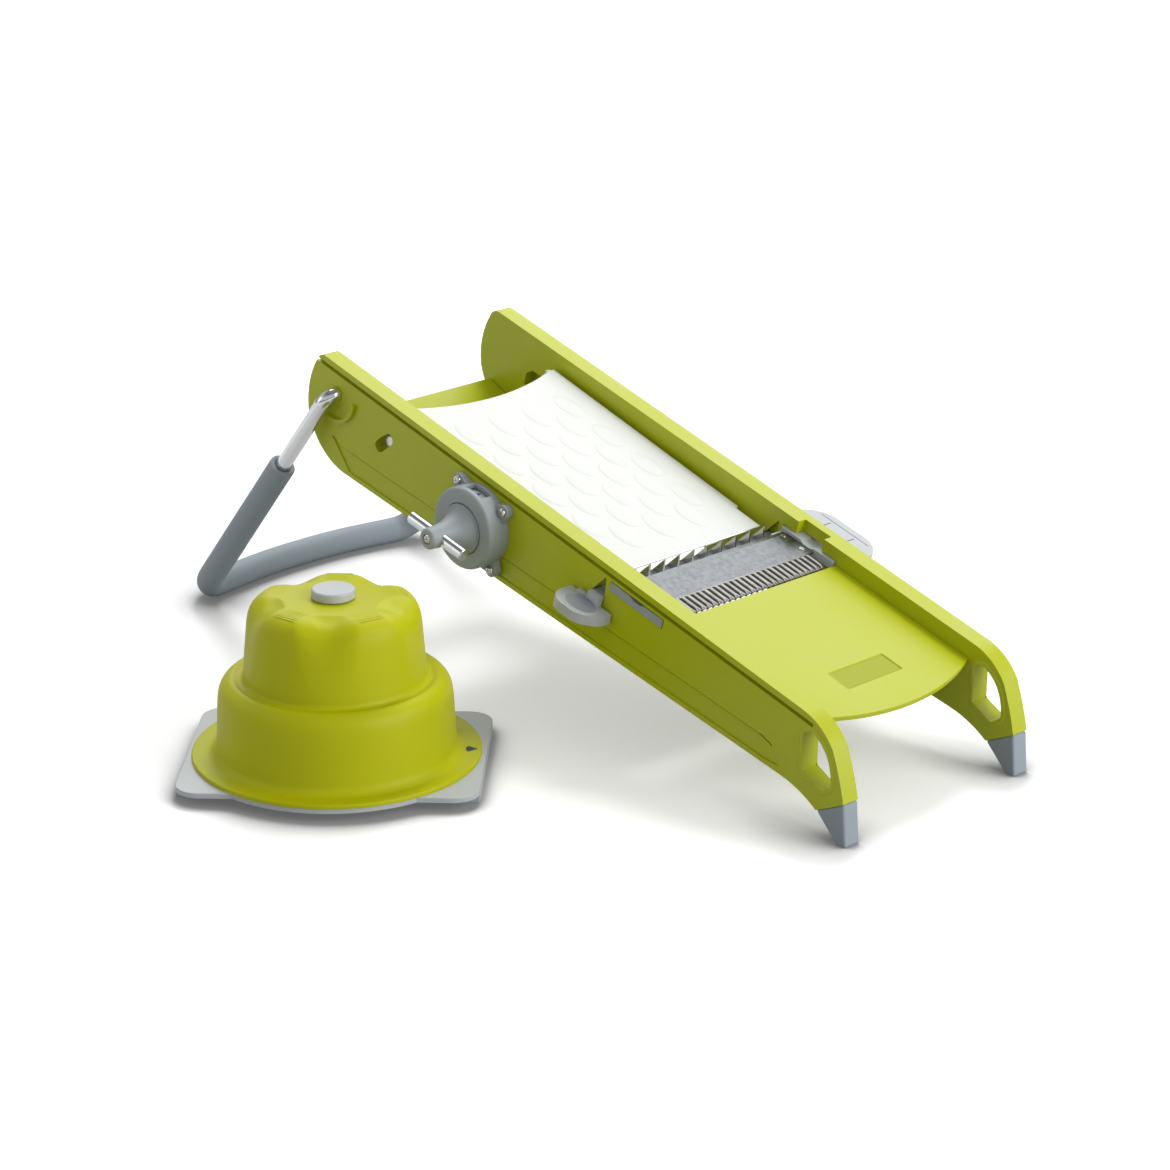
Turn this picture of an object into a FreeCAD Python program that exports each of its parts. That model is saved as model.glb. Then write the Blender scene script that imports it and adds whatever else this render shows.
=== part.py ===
import FreeCAD, Part
import math
import os
from types import SimpleNamespace

import Sketcher

# Mandoline slicer on its folding rear leg, with its food pusher standing beside it. Millimetres, +Z up.
# Pieces of the slicer are drawn along the rails: X runs down the slope from the rear end of the rail tops,
# Y runs across from the dial side (negative) to the right, Z is square to the rail tops.
# The leg is drawn on the floor below the same point, the pusher round its own upright axis.

SIZES = {
    # place of the row's origin, measured from the rear end of the rail tops and from the mid plane
    "origin_back": 124.72,
    "origin_side": 83.1,
    # rails
    "rail_slope": 16.0,
    "rail_width": 130.0,
    "wall_thick": 10.0,
    # rounded tail of each side frame
    "tail_round_x": -4.2,
    "tail_round_z": -1.5,
    "tail_top_x": -6.3,
    "tail_top_z": -5.4,
    "tail_back_x": -8.8,
    "tail_back_z": -20.0,
    "tail_low_x": -6.2,
    "tail_low_z": -34.0,
    "heel_x": 5.5,
    "heel_z": -47.6,
    "belly_x": 30.0,
    "belly_z": -54.3,
    # front end of each side frame, where the rail bends down into a leg
    "throat_x": 346.0,
    "throat_z": -38.8,
    "ankle_x": 361.0,
    "ankle_z": -39.9,
    "sock_heel_x": 371.0,
    "sock_heel_z": -42.8,
    "sock_toe_x": 385.1,
    "sock_toe_z": -30.6,
    "shin_x": 378.2,
    "shin_z": -18.6,
    "knee_x": 371.5,
    "knee_z": -9.0,
    "brow_x": 362.5,
    "brow_z": -2.9,
    "nose_x": 350.0,
    # rubber tip under each front leg
    "tip_front_x": 392.6,
    "tip_back_x": 387.0,
    "tip_depth": 50.65,
    # guide groove under the top strip
    "groove_from": -9.0,
    "groove_to": 357.0,
    "groove_top": 3.2,
    "groove_width": 2.0,
    "groove_depth": 2.6,
    # leaf-shaped recess along the lower edge of the outer face
    "leaf_depth": 0.8,
    "leaf_tail_x": 14.5,
    "leaf_tail_z": -38.9,
    "leaf_shoulder_x": 27.0,
    "leaf_shoulder_z": -41.0,
    "leaf_brow_x": 328.0,
    "leaf_brow_z": -26.4,
    "leaf_cheek_x": 339.0,
    "leaf_cheek_z": -28.6,
    "leaf_nose_x": 344.0,
    "leaf_nose_z": -35.3,
    "leaf_margin": 2.4,
    # window through each front leg
    "window_back_x": 352.6,
    "window_back_z": -10.0,
    "window_sill_x": 357.6,
    "window_sill_z": -28.8,
    "window_tip_x": 371.4,
    "window_tip_z": -32.0,
    "window_toe_x": 375.8,
    "window_toe_z": -26.5,
    "window_brow_x": 368.4,
    "window_brow_z": -12.6,
    "window_top_x": 358.2,
    "window_top_z": -7.2,
    # pivot of the rear leg and the curved stop rib round it
    "pivot_x": 12.8,
    "pivot_z": -15.4,
    "stop_rib_radius": 14.2,
    "stop_rib_width": 2.2,
    "stop_rib_height": 2.0,
    "stop_rib_from": -105.0,
    "stop_rib_to": 5.0,
    # travel of the slide plate along its slanted slots, up to the blade and down from it
    "slot_angle": 51.0,
    "slide_up": 4.4,
    "slide_down": 4.0,
    "slot_gap": 0.3,
    "rear_pin_x": 52.4,
    "rear_pin_z": -22.8,
    "rear_pin_radius": 3.0,
    "rear_pin_inset": 4.0,
    "cam_pin_radius": 2.0,
    "blind_slot_depth": 7.0,
    # hand hole inside the right side frame, used to lift the plate out
    "release_back": 28.0,
    "release_front": 43.0,
    "release_top": -18.6,
    "release_bottom": -33.0,
    "release_round": 4.0,
    "release_depth": 7.0,
    # ramp below the blade
    "ramp_start": 257.8,
    "ramp_side_end": 348.0,
    "ramp_bow": 12.5,
    "ramp_top": -8.8,
    "ramp_thick": 2.6,
    "ramp_rib_thick": 2.4,
    "ramp_rib_drop": 7.0,
    "ramp_beam_drop": 16.0,
    "ramp_rib_spread": 30.0,
    "ramp_rib_end": 344.0,
    # tie bar across the rear, low between the side frames
    "tie_back_x": 2.6,
    "tie_back_z": -38.4,
    "tie_crest_x": 18.0,
    "tie_crest_z": -41.0,
    "tie_front_x": 27.0,
    "tie_front_z": -46.0,
    "tie_low_x": 24.0,
    "tie_low_z": -50.0,
    "tie_foot_x": 9.0,
    "tie_foot_z": -46.6,
    # slide plate
    "plate_back": 49.5,
    "plate_front": 210.0,
    "plate_back_z": -8.0,
    "plate_front_z": -12.0,
    "plate_thick": 3.0,
    "plate_width": 104.0,
    "plate_bow": 9.0,
    "skirt_thick": 3.0,
    "skirt_back": 46.6,
    "skirt_front": 202.0,
    "skirt_nose_z": -18.6,
    "skirt_mid_x": 142.0,
    "skirt_mid_z": -25.0,
    "skirt_heel_x": 64.0,
    "skirt_heel_z": -29.5,
    "skirt_tail_z": -27.6,
    "plate_notch_x": 191.6,
    "plate_notch_depth": 2.2,
    "plate_rib_spread": 22.0,
    "plate_rib_thick": 2.0,
    "plate_rib_drop": 4.0,
    "plate_rib_from": 66.0,
    "plate_rib_to": 198.0,
    "edge_strip_thick": 0.7,
    # thickness dial
    "dial_x": 129.0,
    "dial_z": -26.5,
    "housing_radius": 21.0,
    "housing_height": 12.5,
    "housing_front": 2.1,
    "housing_wall": 2.3,
    "housing_round": 1.6,
    "lug_out": 2.8,
    "lug_radius": 3.6,
    "lug_root": 5.4,
    "lug_height": 4.2,
    "lug_turn": 45.0,
    "dial_window_width": 12.0,
    "dial_window_back": 3.0,
    "dial_window_depth": 6.5,
    "screw_radius": 1.2,
    "screw_length": 11.0,
    "screw_head_radius": 2.3,
    "screw_head_height": 1.5,
    "screw_fit": 0.05,
    "cam_gap": 0.4,
    "cam_rest": 11.2,
    "scroll_pitch": 11.0,
    "scroll_slack": 0.4,
    "scroll_depth": 3.6,
    "scroll_spare": 8.0,
    "spindle_radius": 3.0,
    "spindle_length": 7.0,
    "running_fit": 0.05,
    "boss_radius": 12.9,
    "boss_gap": 0.4,
    "boss_proud": 0.9,
    "hub_base_radius": 11.6,
    "hub_waist_radius": 7.4,
    "hub_waist_at": 7.0,
    "hub_neck_radius": 5.8,
    "hub_neck_at": 14.5,
    "hub_tip_radius": 5.3,
    "hub_length": 22.0,
    "hub_chamfer": 0.8,
    "cross_rod_radius": 3.2,
    "cross_rod_length": 40.0,
    "cross_rod_at": 14.6,
    "cross_rod_turn": 1.4,
    "hub_screw_radius": 2.7,
    "hub_screw_sink": 1.6,
    "hub_screw_length": 2.4,
    # blade cassette
    "carrier_back": 220.6,
    "carrier_front": 257.0,
    "carrier_top": -7.0,
    "carrier_bottom": -11.4,
    "cassette_gap": 0.4,
    "carrier_proud": 0.5,
    "carrier_inner": 53.0,
    "ledge_reach": 7.0,
    "ledge_front": 242.6,
    "carrier_notch": 2.4,
    "blade_back": 222.0,
    "blade_bevel": 3.0,
    "crinkle_start": 244.0,
    "blade_top": -8.6,
    "blade_thick": 1.0,
    "blade_edge": 0.15,
    "crinkle_pitch": 3.8,
    "crinkle_height": 0.9,
    "crinkle_count": 26.0,
    "rivet_radius": 1.5,
    "rivet_head": 0.3,
    "rivet_back": 226.0,
    "rivet_front": 239.0,
    "rivet_inset": 3.4,
    "latch_notch_from": 229.0,
    "latch_notch_to": 247.0,
    "latch_notch_depth": 5.0,
    "cassette_tab_back": 213.0,
    "cassette_tab_front": 262.0,
    "cassette_tab_reach": 22.0,
    "cassette_tab_thick": 4.0,
    "cassette_tab_round": 15.0,
    # julienne comb
    "comb_apex_x": 216.6,
    "comb_apex_z": -7.3,
    "comb_back_x": 208.6,
    "comb_front_x": 218.2,
    "comb_floor": -19.6,
    "comb_bar_height": 3.0,
    "comb_gap": 0.4,
    "comb_seat": 3.0,
    "comb_proud": 0.9,
    "tooth_pitch": 10.0,
    "tooth_count": 10.0,
    "tooth_thick": 1.2,
    "comb_tab_back": 197.0,
    "comb_tab_front": 226.0,
    "comb_tab_reach": 16.6,
    "comb_tab_top": -22.3,
    "comb_tab_thick": 5.4,
    "comb_tab_round": 9.0,
    "comb_dish_radius": 6.6,
    "comb_dish_depth": 1.0,
    "comb_ridge_back": 203.0,
    "comb_ridge_thick": 3.0,
    "comb_ridge_height": 2.0,
    # rear leg
    "rod_radius": 4.0,
    "rod_end": 58.2,
    "pivot_end_gap": 0.3,
    "rod_bend": 6.0,
    "leg_top_half": 71.5,
    "leg_foot_half": 75.0,
    "leg_foot_back": 97.7,
    "leg_bow": 9.3,
    "leg_bow_half": 25.0,
    "leg_corner": 14.0,
    "sleeve_radius": 7.0,
    "sleeve_start": 58.0,
    "sleeve_fit": 0.05,
    # food pusher
    "pusher_x": 128.1,
    "pusher_y": -169.4,
    "pusher_turn": 43.6,
    "lip_thick": 6.0,
    "base_depth": 108.0,
    "base_round": 12.0,
    "base_top": 7.4,
    "base_thick": 2.8,
    "base_disc_in": 0.6,
    "opening_in": 10.8,
    "channel_gap": 1.0,
    "hook_reach": 1.3,
    "hook_height": 1.5,
    "guide_rib_thick": 2.4,
    "collar_gap": 0.3,
    "collar_wall": 2.2,
    "ring_lip": 2.3,
    "ring_thick": 1.6,
    "ring_play": 0.2,
    "ring_room": 0.6,
    "flange_reach": 12.0,
    "flange_thick": 2.0,
    "drum_fillet": 4.2,
    "drum_foot_radius": 57.8,
    "drum_draft": 1.4,
    "drum_top": 38.0,
    "shoulder_in": 2.0,
    "shoulder_up": 6.2,
    "ledge_in": 7.4,
    "ledge_up": 9.2,
    "valley_in": 3.6,
    "valley_up": 0.4,
    "dome_foot_in": 1.7,
    "dome_foot_up": 3.4,
    "dome_draft": 1.9,
    "dome_side": 24.0,
    "crown_bend_in": 2.5,
    "crown_bend_up": 8.0,
    "crown_in": 9.8,
    "crown_up": 11.4,
    "dome_wall": 2.4,
    "chamber_in": 5.2,
    "crown_thick": 6.4,
    "chamber_brow_drop": 14.0,
    "chamber_brow_in": 10.6,
    "chamber_bend_in": 3.0,
    "chamber_bend_drop": 4.0,
    "boss_wall": 4.0,
    "boss_drop": 7.0,
    "scoop_radius": 17.0,
    "scoop_out": 8.2,
    "scoop_up": 4.1,
    "scoop_count": 5.0,
    "plunger_radius": 4.0,
    "cap_radius": 10.5,
    "cap_height": 4.6,
    "cap_rest": 0.3,
    "cap_socket": 2.2,
    "cap_chamfer": 0.7,
    "disc_play": 3.6,
    "disc_thick": 3.0,
    "disc_bottom": 17.0,
    "disc_rim_height": 3.0,
    "disc_rim_thick": 2.4,
    "disc_hub_radius": 8.0,
    "disc_hub_height": 6.0,
    "spike_circle": 22.0,
    "spike_count": 8.0,
    "spike_radius": 1.1,
    "spike_point": 0.25,
    "spike_length": 8.0,
}


class Size:
    """A length or angle that keeps the sheet expression it comes from."""

    def __init__(self, value, text):
        self.value = value
        self.text = text

    def __add__(self, other):
        return Size(self.value + number(other), f"({self.text} + {words(other)})")

    __radd__ = __add__

    def __sub__(self, other):
        return Size(self.value - number(other), f"({self.text} - {words(other)})")

    def __rsub__(self, other):
        return Size(number(other) - self.value, f"({words(other)} - {self.text})")

    def __mul__(self, other):
        return Size(self.value * number(other), f"({self.text} * {words(other)})")

    __rmul__ = __mul__

    def __truediv__(self, other):
        return Size(self.value / number(other), f"({self.text} / {words(other)})")

    def __neg__(self):
        return Size(-self.value, f"(-1 * {self.text})")


def number(thing):
    return thing.value if isinstance(thing, Size) else float(thing)


def words(thing):
    return thing.text if isinstance(thing, Size) else repr(float(thing))


def cosine(angle):
    return Size(math.cos(math.radians(angle.value)), f"cos({angle.text})")


def sine(angle):
    return Size(math.sin(math.radians(angle.value)), f"sin({angle.text})")


def tangent(angle):
    return Size(math.tan(math.radians(angle.value)), f"tan({angle.text})")


doc = FreeCAD.newDocument("mandoline_slicer")
sheet = doc.addObject("Spreadsheet::Sheet", "Sizes")
for row, (alias, amount) in enumerate(SIZES.items(), start=1):
    sheet.set(f"A{row}", alias)
    sheet.set(f"B{row}", str(amount))
    sheet.setAlias(f"B{row}", alias)
doc.recompute()
size = SimpleNamespace(**{alias: Size(amount, f"Sizes.{alias}") for alias, amount in SIZES.items()})

nodes = []


# Drawing helpers

def tie(thing, path, value):
    """Bind one property of an object to the sheet."""
    thing.setExpression(path, words(value))


def vector(point):
    return FreeCAD.Vector(*(number(part) for part in point))


def new_body(name):
    body = doc.addObject("PartDesign::Body", name)
    body.Label = name
    return body


def new_sketch(body, name, role, at=(0, 0, 0)):
    """Sketch on an origin plane of the body, moved by a tied offset in the plane's own axes."""
    sketch = body.newObject("Sketcher::SketchObject", name)
    plane = next(item for item in body.Origin.OriginFeatures if item.Role == role)
    sketch.AttachmentSupport = [(plane, "")]
    sketch.MapMode = "FlatFace"
    sketch.AttachmentOffset = FreeCAD.Placement(vector(at), FreeCAD.Rotation())
    for axis, amount in zip("xyz", at):
        if isinstance(amount, Size):
            tie(sketch, f"AttachmentOffset.Base.{axis}", amount)
    return sketch


def pin_point(sketch, geometry, vertex, point):
    """Hold one vertex at its tied distances from the sketch origin."""
    for kind, amount in zip(("DistanceX", "DistanceY"), point):
        index = sketch.addConstraint(
            Sketcher.Constraint(kind, -1, 1, geometry, vertex, number(amount)))
        if isinstance(amount, Size):
            tie(sketch, f"Constraints[{index}]", amount)


def arc_through(start, middle, end):
    """Arc in the sketch plane through three points, counter-clockwise as a sketch keeps it."""
    through = Part.Circle(start, middle, end)
    circle = Part.Circle(through.Center, FreeCAD.Vector(0, 0, 1), through.Radius)
    if (middle - start).cross(end - middle).z < 0:
        start, end = end, start
    return Part.ArcOfCircle(circle, circle.parameter(start), circle.parameter(end))


def draw_outline(sketch, corners):
    """Closed outline. A corner is (u, v); one with two more values bends through them to the next."""
    first = sketch.GeometryCount
    last = len(corners) - 1
    for place, corner in enumerate(corners):
        following = corners[0 if place == last else place + 1]
        start = vector((corner[0], corner[1], 0))
        end = vector((following[0], following[1], 0))
        if len(corner) == 2:
            sketch.addGeometry(Part.LineSegment(start, end))
        else:
            sketch.addGeometry(arc_through(start, vector((corner[2], corner[3], 0)), end))
    starts = []
    for place, corner in enumerate(corners):
        geometry = first + place
        curve = sketch.Geometry[geometry]
        near = curve.StartPoint.distanceToPoint(vector((corner[0], corner[1], 0)))
        far = curve.EndPoint.distanceToPoint(vector((corner[0], corner[1], 0)))
        starts.append((geometry, 1, 2) if near <= far else (geometry, 2, 1))
    for place, (geometry, _, end) in enumerate(starts):
        following = starts[0 if place == last else place + 1]
        sketch.addConstraint(Sketcher.Constraint("Coincident", geometry, end, following[0], following[1]))
    for corner, (geometry, start, _) in zip(corners, starts):
        pin_point(sketch, geometry, start, corner[:2])
    for corner, (geometry, _, _) in zip(corners, starts):
        if len(corner) == 4:
            middle = sketch.addGeometry(Part.Point(vector((corner[2], corner[3], 0))), True)
            pin_point(sketch, middle, 1, corner[2:])
            sketch.addConstraint(Sketcher.Constraint("PointOnObject", middle, 1, geometry))


def draw_circle(sketch, centre, radius):
    circle = sketch.addGeometry(
        Part.Circle(vector((*centre, 0)), FreeCAD.Vector(0, 0, 1), number(radius)))
    pin_point(sketch, circle, 3, centre)
    index = sketch.addConstraint(Sketcher.Constraint("Radius", circle, number(radius)))
    tie(sketch, f"Constraints[{index}]", radius)


def corner_inset(radius):
    """How far the middle of a quarter-round corner lies from the square corner, along each side."""
    return radius * (1 - math.sqrt(0.5))


def box_corners(left, low, right, high):
    return [(left, low), (right, low), (right, high), (left, high)]


def slot_corners(start, end, half_width, angle):
    """Outline of a round-ended slot between two centres, lying at the given angle."""
    along = (cosine(angle) * half_width, sine(angle) * half_width)
    return [
        (start[0] + along[1], start[1] - along[0]),
        (end[0] + along[1], end[1] - along[0], end[0] + along[0], end[1] + along[1]),
        (end[0] - along[1], end[1] + along[0]),
        (start[0] - along[1], start[1] + along[0], start[0] - along[0], start[1] - along[1]),
    ]


def add_feature(body, kind, name, sketch, length, flip):
    feature = body.newObject(f"PartDesign::{kind}", name)
    feature.Profile = sketch
    feature.Length = number(length)
    if isinstance(length, Size):
        tie(feature, "Length", length)
    feature.Reversed = flip
    return feature


def slab(body, name, corners, right_y, width, cut=False):
    """Pad, or cut, an outline drawn in the rail's side view, from right_y towards the dial side."""
    sketch = new_sketch(body, f"{name}_outline", "XZ_Plane", (0, 0, -right_y))
    draw_outline(sketch, corners)
    return add_feature(body, "Pocket" if cut else "Pad", name, sketch, width, cut)


def disc(body, name, centre, radius, right_y, width, cut=False):
    """Pad, or cut, a circle drawn in the rail's side view, from right_y towards the dial side."""
    sketch = new_sketch(body, f"{name}_circle", "XZ_Plane", (0, 0, -right_y))
    draw_circle(sketch, centre, radius)
    return add_feature(body, "Pocket" if cut else "Pad", name, sketch, width, cut)


def sheet_pad(body, name, corners, top, thick, cut=False):
    """Pad, or cut, an outline seen from above, from its top face downwards."""
    sketch = new_sketch(body, f"{name}_plan", "XY_Plane", (0, 0, top))
    draw_outline(sketch, corners)
    return add_feature(body, "Pocket" if cut else "Pad", name, sketch, thick, not cut)


def turned(body, name, corners, at=(0, 0, 0), role="XY_Plane"):
    """Revolve a half section about the upright axis of its sketch."""
    sketch = new_sketch(body, f"{name}_section", role, at)
    draw_outline(sketch, corners)
    feature = body.newObject("PartDesign::Revolution", name)
    feature.Profile = sketch
    feature.ReferenceAxis = (sketch, ["V_Axis"])
    feature.Angle = 360
    return feature


def cylinder(name, radius, length, start, axis):
    """Cylinder from a start point along one axis."""
    rod = doc.addObject("Part::Cylinder", name)
    tie(rod, "Radius", radius)
    tie(rod, "Height", length)
    set_place(rod, start, axis)
    return rod


def cone(name, radius, point, length, start, axis):
    spike = doc.addObject("Part::Cone", name)
    tie(spike, "Radius1", radius)
    tie(spike, "Radius2", point)
    tie(spike, "Height", length)
    set_place(spike, start, axis)
    return spike


def set_place(thing, start, axis):
    turn = FreeCAD.Rotation(FreeCAD.Vector(0, 0, 1), FreeCAD.Vector(*axis))
    thing.Placement = FreeCAD.Placement(vector(start), turn)
    for letter, amount in zip("xyz", start):
        if isinstance(amount, Size):
            tie(thing, f"Placement.Base.{letter}", amount)


def join(kind, name, pieces):
    """Compound or fused group of pieces."""
    group = doc.addObject(f"Part::{kind}", name)
    if kind == "Compound":
        group.Links = pieces
    else:
        group.Shapes = pieces
    return group


def cut_from(name, base, tool):
    result = doc.addObject("Part::Cut", name)
    result.Base = base
    result.Tool = tool
    return result


def shaped(name, shape):
    feature = doc.addObject("Part::Feature", name)
    feature.Shape = shape
    return feature


def keep(thing, name, place):
    """Name a finished piece and set it in the row."""
    thing.Label = name
    base, axis, angle = place
    thing.Placement = FreeCAD.Placement(vector(base), FreeCAD.Rotation(FreeCAD.Vector(*axis), number(angle)))
    for letter, amount in zip("xyz", base):
        if isinstance(amount, Size):
            tie(thing, f"Placement.Base.{letter}", amount)
    if isinstance(angle, Size):
        tie(thing, "Placement.Rotation.Angle", angle)
    nodes.append(thing)


rail_height = size.tip_front_x * sine(size.rail_slope) + size.tip_depth * cosine(size.rail_slope)
ON_RAIL = ((-size.origin_back, size.origin_side, rail_height), (0, 1, 0), size.rail_slope)
ON_FLOOR = ((-size.origin_back, size.origin_side, 0), (0, 1, 0), 0)
BY_PUSHER = (
    (size.pusher_x - size.origin_back, size.pusher_y + size.origin_side, 0), (0, 0, 1), size.pusher_turn)

half_width = size.rail_width / 2
inner_half = half_width - size.wall_thick
slide_x = cosine(size.slot_angle)
slide_z = sine(size.slot_angle)
dial_centre = (size.dial_x, size.dial_z)
cam_pin = (size.dial_x + size.cam_rest * slide_x, size.dial_z + size.cam_rest * slide_z)
rear_pin = (size.rear_pin_x, size.rear_pin_z)
cam_face = half_width + size.cam_gap
lug_circle = size.housing_radius + size.lug_out

# outline of the pusher's dome, worked up from the foot of its drum
flange_radius = size.drum_foot_radius + size.flange_reach
base_opening = size.drum_foot_radius - size.opening_in
drum_top_radius = size.drum_foot_radius - size.drum_draft
shoulder = (drum_top_radius - size.shoulder_in, size.drum_top + size.shoulder_up)
ledge = (drum_top_radius - size.ledge_in, size.drum_top + size.ledge_up)
valley = (ledge[0] - size.valley_in, ledge[1] + size.valley_up)
dome_foot = (valley[0] - size.dome_foot_in, valley[1] + size.dome_foot_up)
dome_top = (dome_foot[0] - size.dome_draft, dome_foot[1] + size.dome_side)
crown_bend = (dome_top[0] - size.crown_bend_in, dome_top[1] + size.crown_bend_up)
crown_edge = (dome_top[0] - size.crown_in, dome_top[1] + size.crown_up)
crown_top = crown_edge[1]
chamber_radius = dome_top[0] - size.chamber_in
chamber_top = crown_top - size.crown_thick

SIDES = (("left", -1), ("right", 1))
SPIRAL_STEPS = 16
BEND_SHARE = 0.45


def floor_below(along):
    """Depth of the floor, square to the rails, below a point along them."""
    return (along * sine(size.rail_slope) - rail_height) / cosine(size.rail_slope)


def belly_at(along):
    """Height of the straight lower edge of a side frame."""
    slope = (size.throat_z - size.belly_z) / (size.throat_x - size.belly_x)
    return size.belly_z + (along - size.belly_x) * slope


def travel_slot(pin, radius):
    """Slot that a pin of the slide plate runs in over the plate's whole travel."""
    low = (pin[0] - size.slide_down * slide_x, pin[1] - size.slide_down * slide_z)
    high = (pin[0] + size.slide_up * slide_x, pin[1] + size.slide_up * slide_z)
    return slot_corners(low, high, radius + size.slot_gap, size.slot_angle)


def by_dial(out, across, angle):
    """Point beside the dial's axis, turned by an angle in the side view."""
    return (size.dial_x + out * cosine(angle) - across * sine(angle),
            size.dial_z + out * sine(angle) + across * cosine(angle))


def lug_places():
    for quarter in range(4):
        yield by_dial(lug_circle, 0, size.lug_turn + 90 * quarter)


def ear_corners(quarter):
    """Web that joins one lug to the drum, wider where it meets the drum."""
    angle = size.lug_turn + 90 * quarter
    root = size.housing_radius - size.housing_wall / 2
    return [by_dial(root, -size.lug_root, angle), by_dial(lug_circle, -size.lug_radius, angle),
            by_dial(lug_circle, size.lug_radius, angle), by_dial(root, size.lug_root, angle)]


# Side frames, their rubber tips, the ramp and the rear tie bar

def side_frame(side, sign):
    body = new_body(f"{side}_side_frame")
    right_y = -inner_half if sign < 0 else half_width
    outline = [
        (0, 0),
        (size.nose_x, 0, size.brow_x, size.brow_z),
        (size.knee_x, size.knee_z, size.shin_x, size.shin_z),
        (size.sock_toe_x, size.sock_toe_z),
        (size.sock_heel_x, size.sock_heel_z, size.ankle_x, size.ankle_z),
        (size.throat_x, size.throat_z),
        (size.belly_x, size.belly_z, size.heel_x, size.heel_z),
        (size.tail_low_x, size.tail_low_z, size.tail_back_x, size.tail_back_z),
        (size.tail_top_x, size.tail_top_z, size.tail_round_x, size.tail_round_z),
    ]
    slab(body, "wall", outline, right_y, size.wall_thick)
    rib_on_outside(body, sign)
    cut_outer_face(body, "groove", sign, size.groove_depth, box_corners(
        size.groove_from, -size.groove_top - size.groove_width, size.groove_to, -size.groove_top))
    cut_outer_face(body, "leaf", sign, size.leaf_depth, leaf_corners())
    through = {"right_y": right_y, "width": size.wall_thick, "cut": True}
    slab(body, "leg_window", [
        (size.window_back_x, size.window_back_z),
        (size.window_sill_x, size.window_sill_z),
        (size.window_tip_x, size.window_tip_z),
        (size.window_toe_x, size.window_toe_z, size.window_brow_x, size.window_brow_z),
        (size.window_top_x, size.window_top_z),
    ], **through)
    cut_depth = half_width - size.rod_end + size.pivot_end_gap
    disc(body, "pivot_hole", (size.pivot_x, size.pivot_z), size.rod_radius + size.running_fit,
         cut_depth - half_width if sign < 0 else half_width, cut_depth, cut=True)
    slab(body, "rear_slot", travel_slot(rear_pin, size.rear_pin_radius), **through)
    slab(body, "cassette_slot", box_corners(
        size.carrier_back - size.cassette_gap, size.carrier_bottom - size.cassette_gap,
        size.carrier_front + size.cassette_gap, size.carrier_top + size.cassette_gap), **through)
    if sign < 0:
        left_only_cuts(body, through)
    else:
        right_only_cuts(body)
    keep(body, f"{side}_side_frame", ON_RAIL)


def cut_outer_face(body, name, sign, depth, corners):
    """Shallow cut into the face that looks away from the mid plane."""
    right_y = depth - half_width if sign < 0 else half_width
    slab(body, name, corners, right_y, depth, cut=True)


def rib_on_outside(body, sign):
    """Curved stop rib round the leg's pivot."""
    inner = size.stop_rib_radius - size.stop_rib_width / 2
    outer = size.stop_rib_radius + size.stop_rib_width / 2
    middle = (size.stop_rib_from + size.stop_rib_to) / 2

    def at(radius, angle):
        return size.pivot_x + radius * cosine(angle), size.pivot_z + radius * sine(angle)

    corners = [
        (*at(inner, size.stop_rib_to), *at(inner, middle)),
        at(inner, size.stop_rib_from),
        (*at(outer, size.stop_rib_from), *at(outer, middle)),
        at(outer, size.stop_rib_to),
    ]
    right_y = -half_width if sign < 0 else half_width + size.stop_rib_height
    slab(body, "stop_rib", corners, right_y, size.stop_rib_height)


def leaf_corners():
    low_front = size.leaf_brow_x + (size.leaf_nose_x - size.leaf_brow_x) / 2
    low_back = size.leaf_shoulder_x + size.leaf_margin * 2
    return [
        (size.leaf_tail_x, size.leaf_tail_z),
        (low_back, belly_at(low_back) + size.leaf_margin),
        (low_front, belly_at(low_front) + size.leaf_margin),
        (size.leaf_nose_x, size.leaf_nose_z, size.leaf_cheek_x, size.leaf_cheek_z),
        (size.leaf_brow_x, size.leaf_brow_z),
        (size.leaf_shoulder_x, size.leaf_shoulder_z),
    ]


def left_only_cuts(body, through):
    """Openings behind the dial and for the julienne comb, and the pilot holes of the dial's screws."""
    slab(body, "cam_slot", travel_slot(cam_pin, size.cam_pin_radius), **through)
    disc(body, "spindle_hole", dial_centre, size.spindle_radius + size.running_fit, **through)
    slab(body, "comb_slot", comb_section(size.comb_gap), **through)
    depth = size.screw_length - size.lug_height
    for count, centre in enumerate(lug_places(), start=1):
        disc(body, f"pilot_{count}", centre, size.screw_radius + size.screw_fit, depth - half_width,
             depth, cut=True)


def right_only_cuts(body):
    """Blind slot of the front guide pin, comb seat, latch notch in the strip and hand hole."""
    slab(body, "guide_slot", travel_slot(cam_pin, size.cam_pin_radius),
         inner_half + size.blind_slot_depth, size.blind_slot_depth, cut=True)
    slab(body, "comb_seat", comb_section(size.comb_gap),
         inner_half + size.comb_seat, size.comb_seat, cut=True)
    slab(body, "latch_notch", box_corners(
        size.latch_notch_from, size.carrier_top, size.latch_notch_to, size.cassette_gap),
        inner_half + size.latch_notch_depth, size.latch_notch_depth, cut=True)
    low = (size.release_back + size.release_round, size.release_bottom + size.release_round)
    high = (size.release_front - size.release_round, size.release_top - size.release_round)
    slab(body, "hand_hole", [
        (size.release_back, low[1]),
        (low[0], size.release_bottom),
        (high[0], size.release_bottom),
        (size.release_front, low[1]),
        (size.release_front, high[1]),
        (high[0], size.release_top),
        (low[0], size.release_top),
        (size.release_back, high[1]),
    ], inner_half + size.release_depth, size.release_depth, cut=True)


def foot_tip(side, sign):
    body = new_body(f"{side}_foot_tip")
    slab(body, "tip", [
        (size.sock_heel_x, size.sock_heel_z),
        (size.tip_back_x, floor_below(size.tip_back_x)),
        (size.tip_front_x, floor_below(size.tip_front_x)),
        (size.sock_toe_x, size.sock_toe_z),
    ], -inner_half if sign < 0 else half_width, size.wall_thick)
    keep(body, f"{side}_foot_tip", ON_RAIL)


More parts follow.
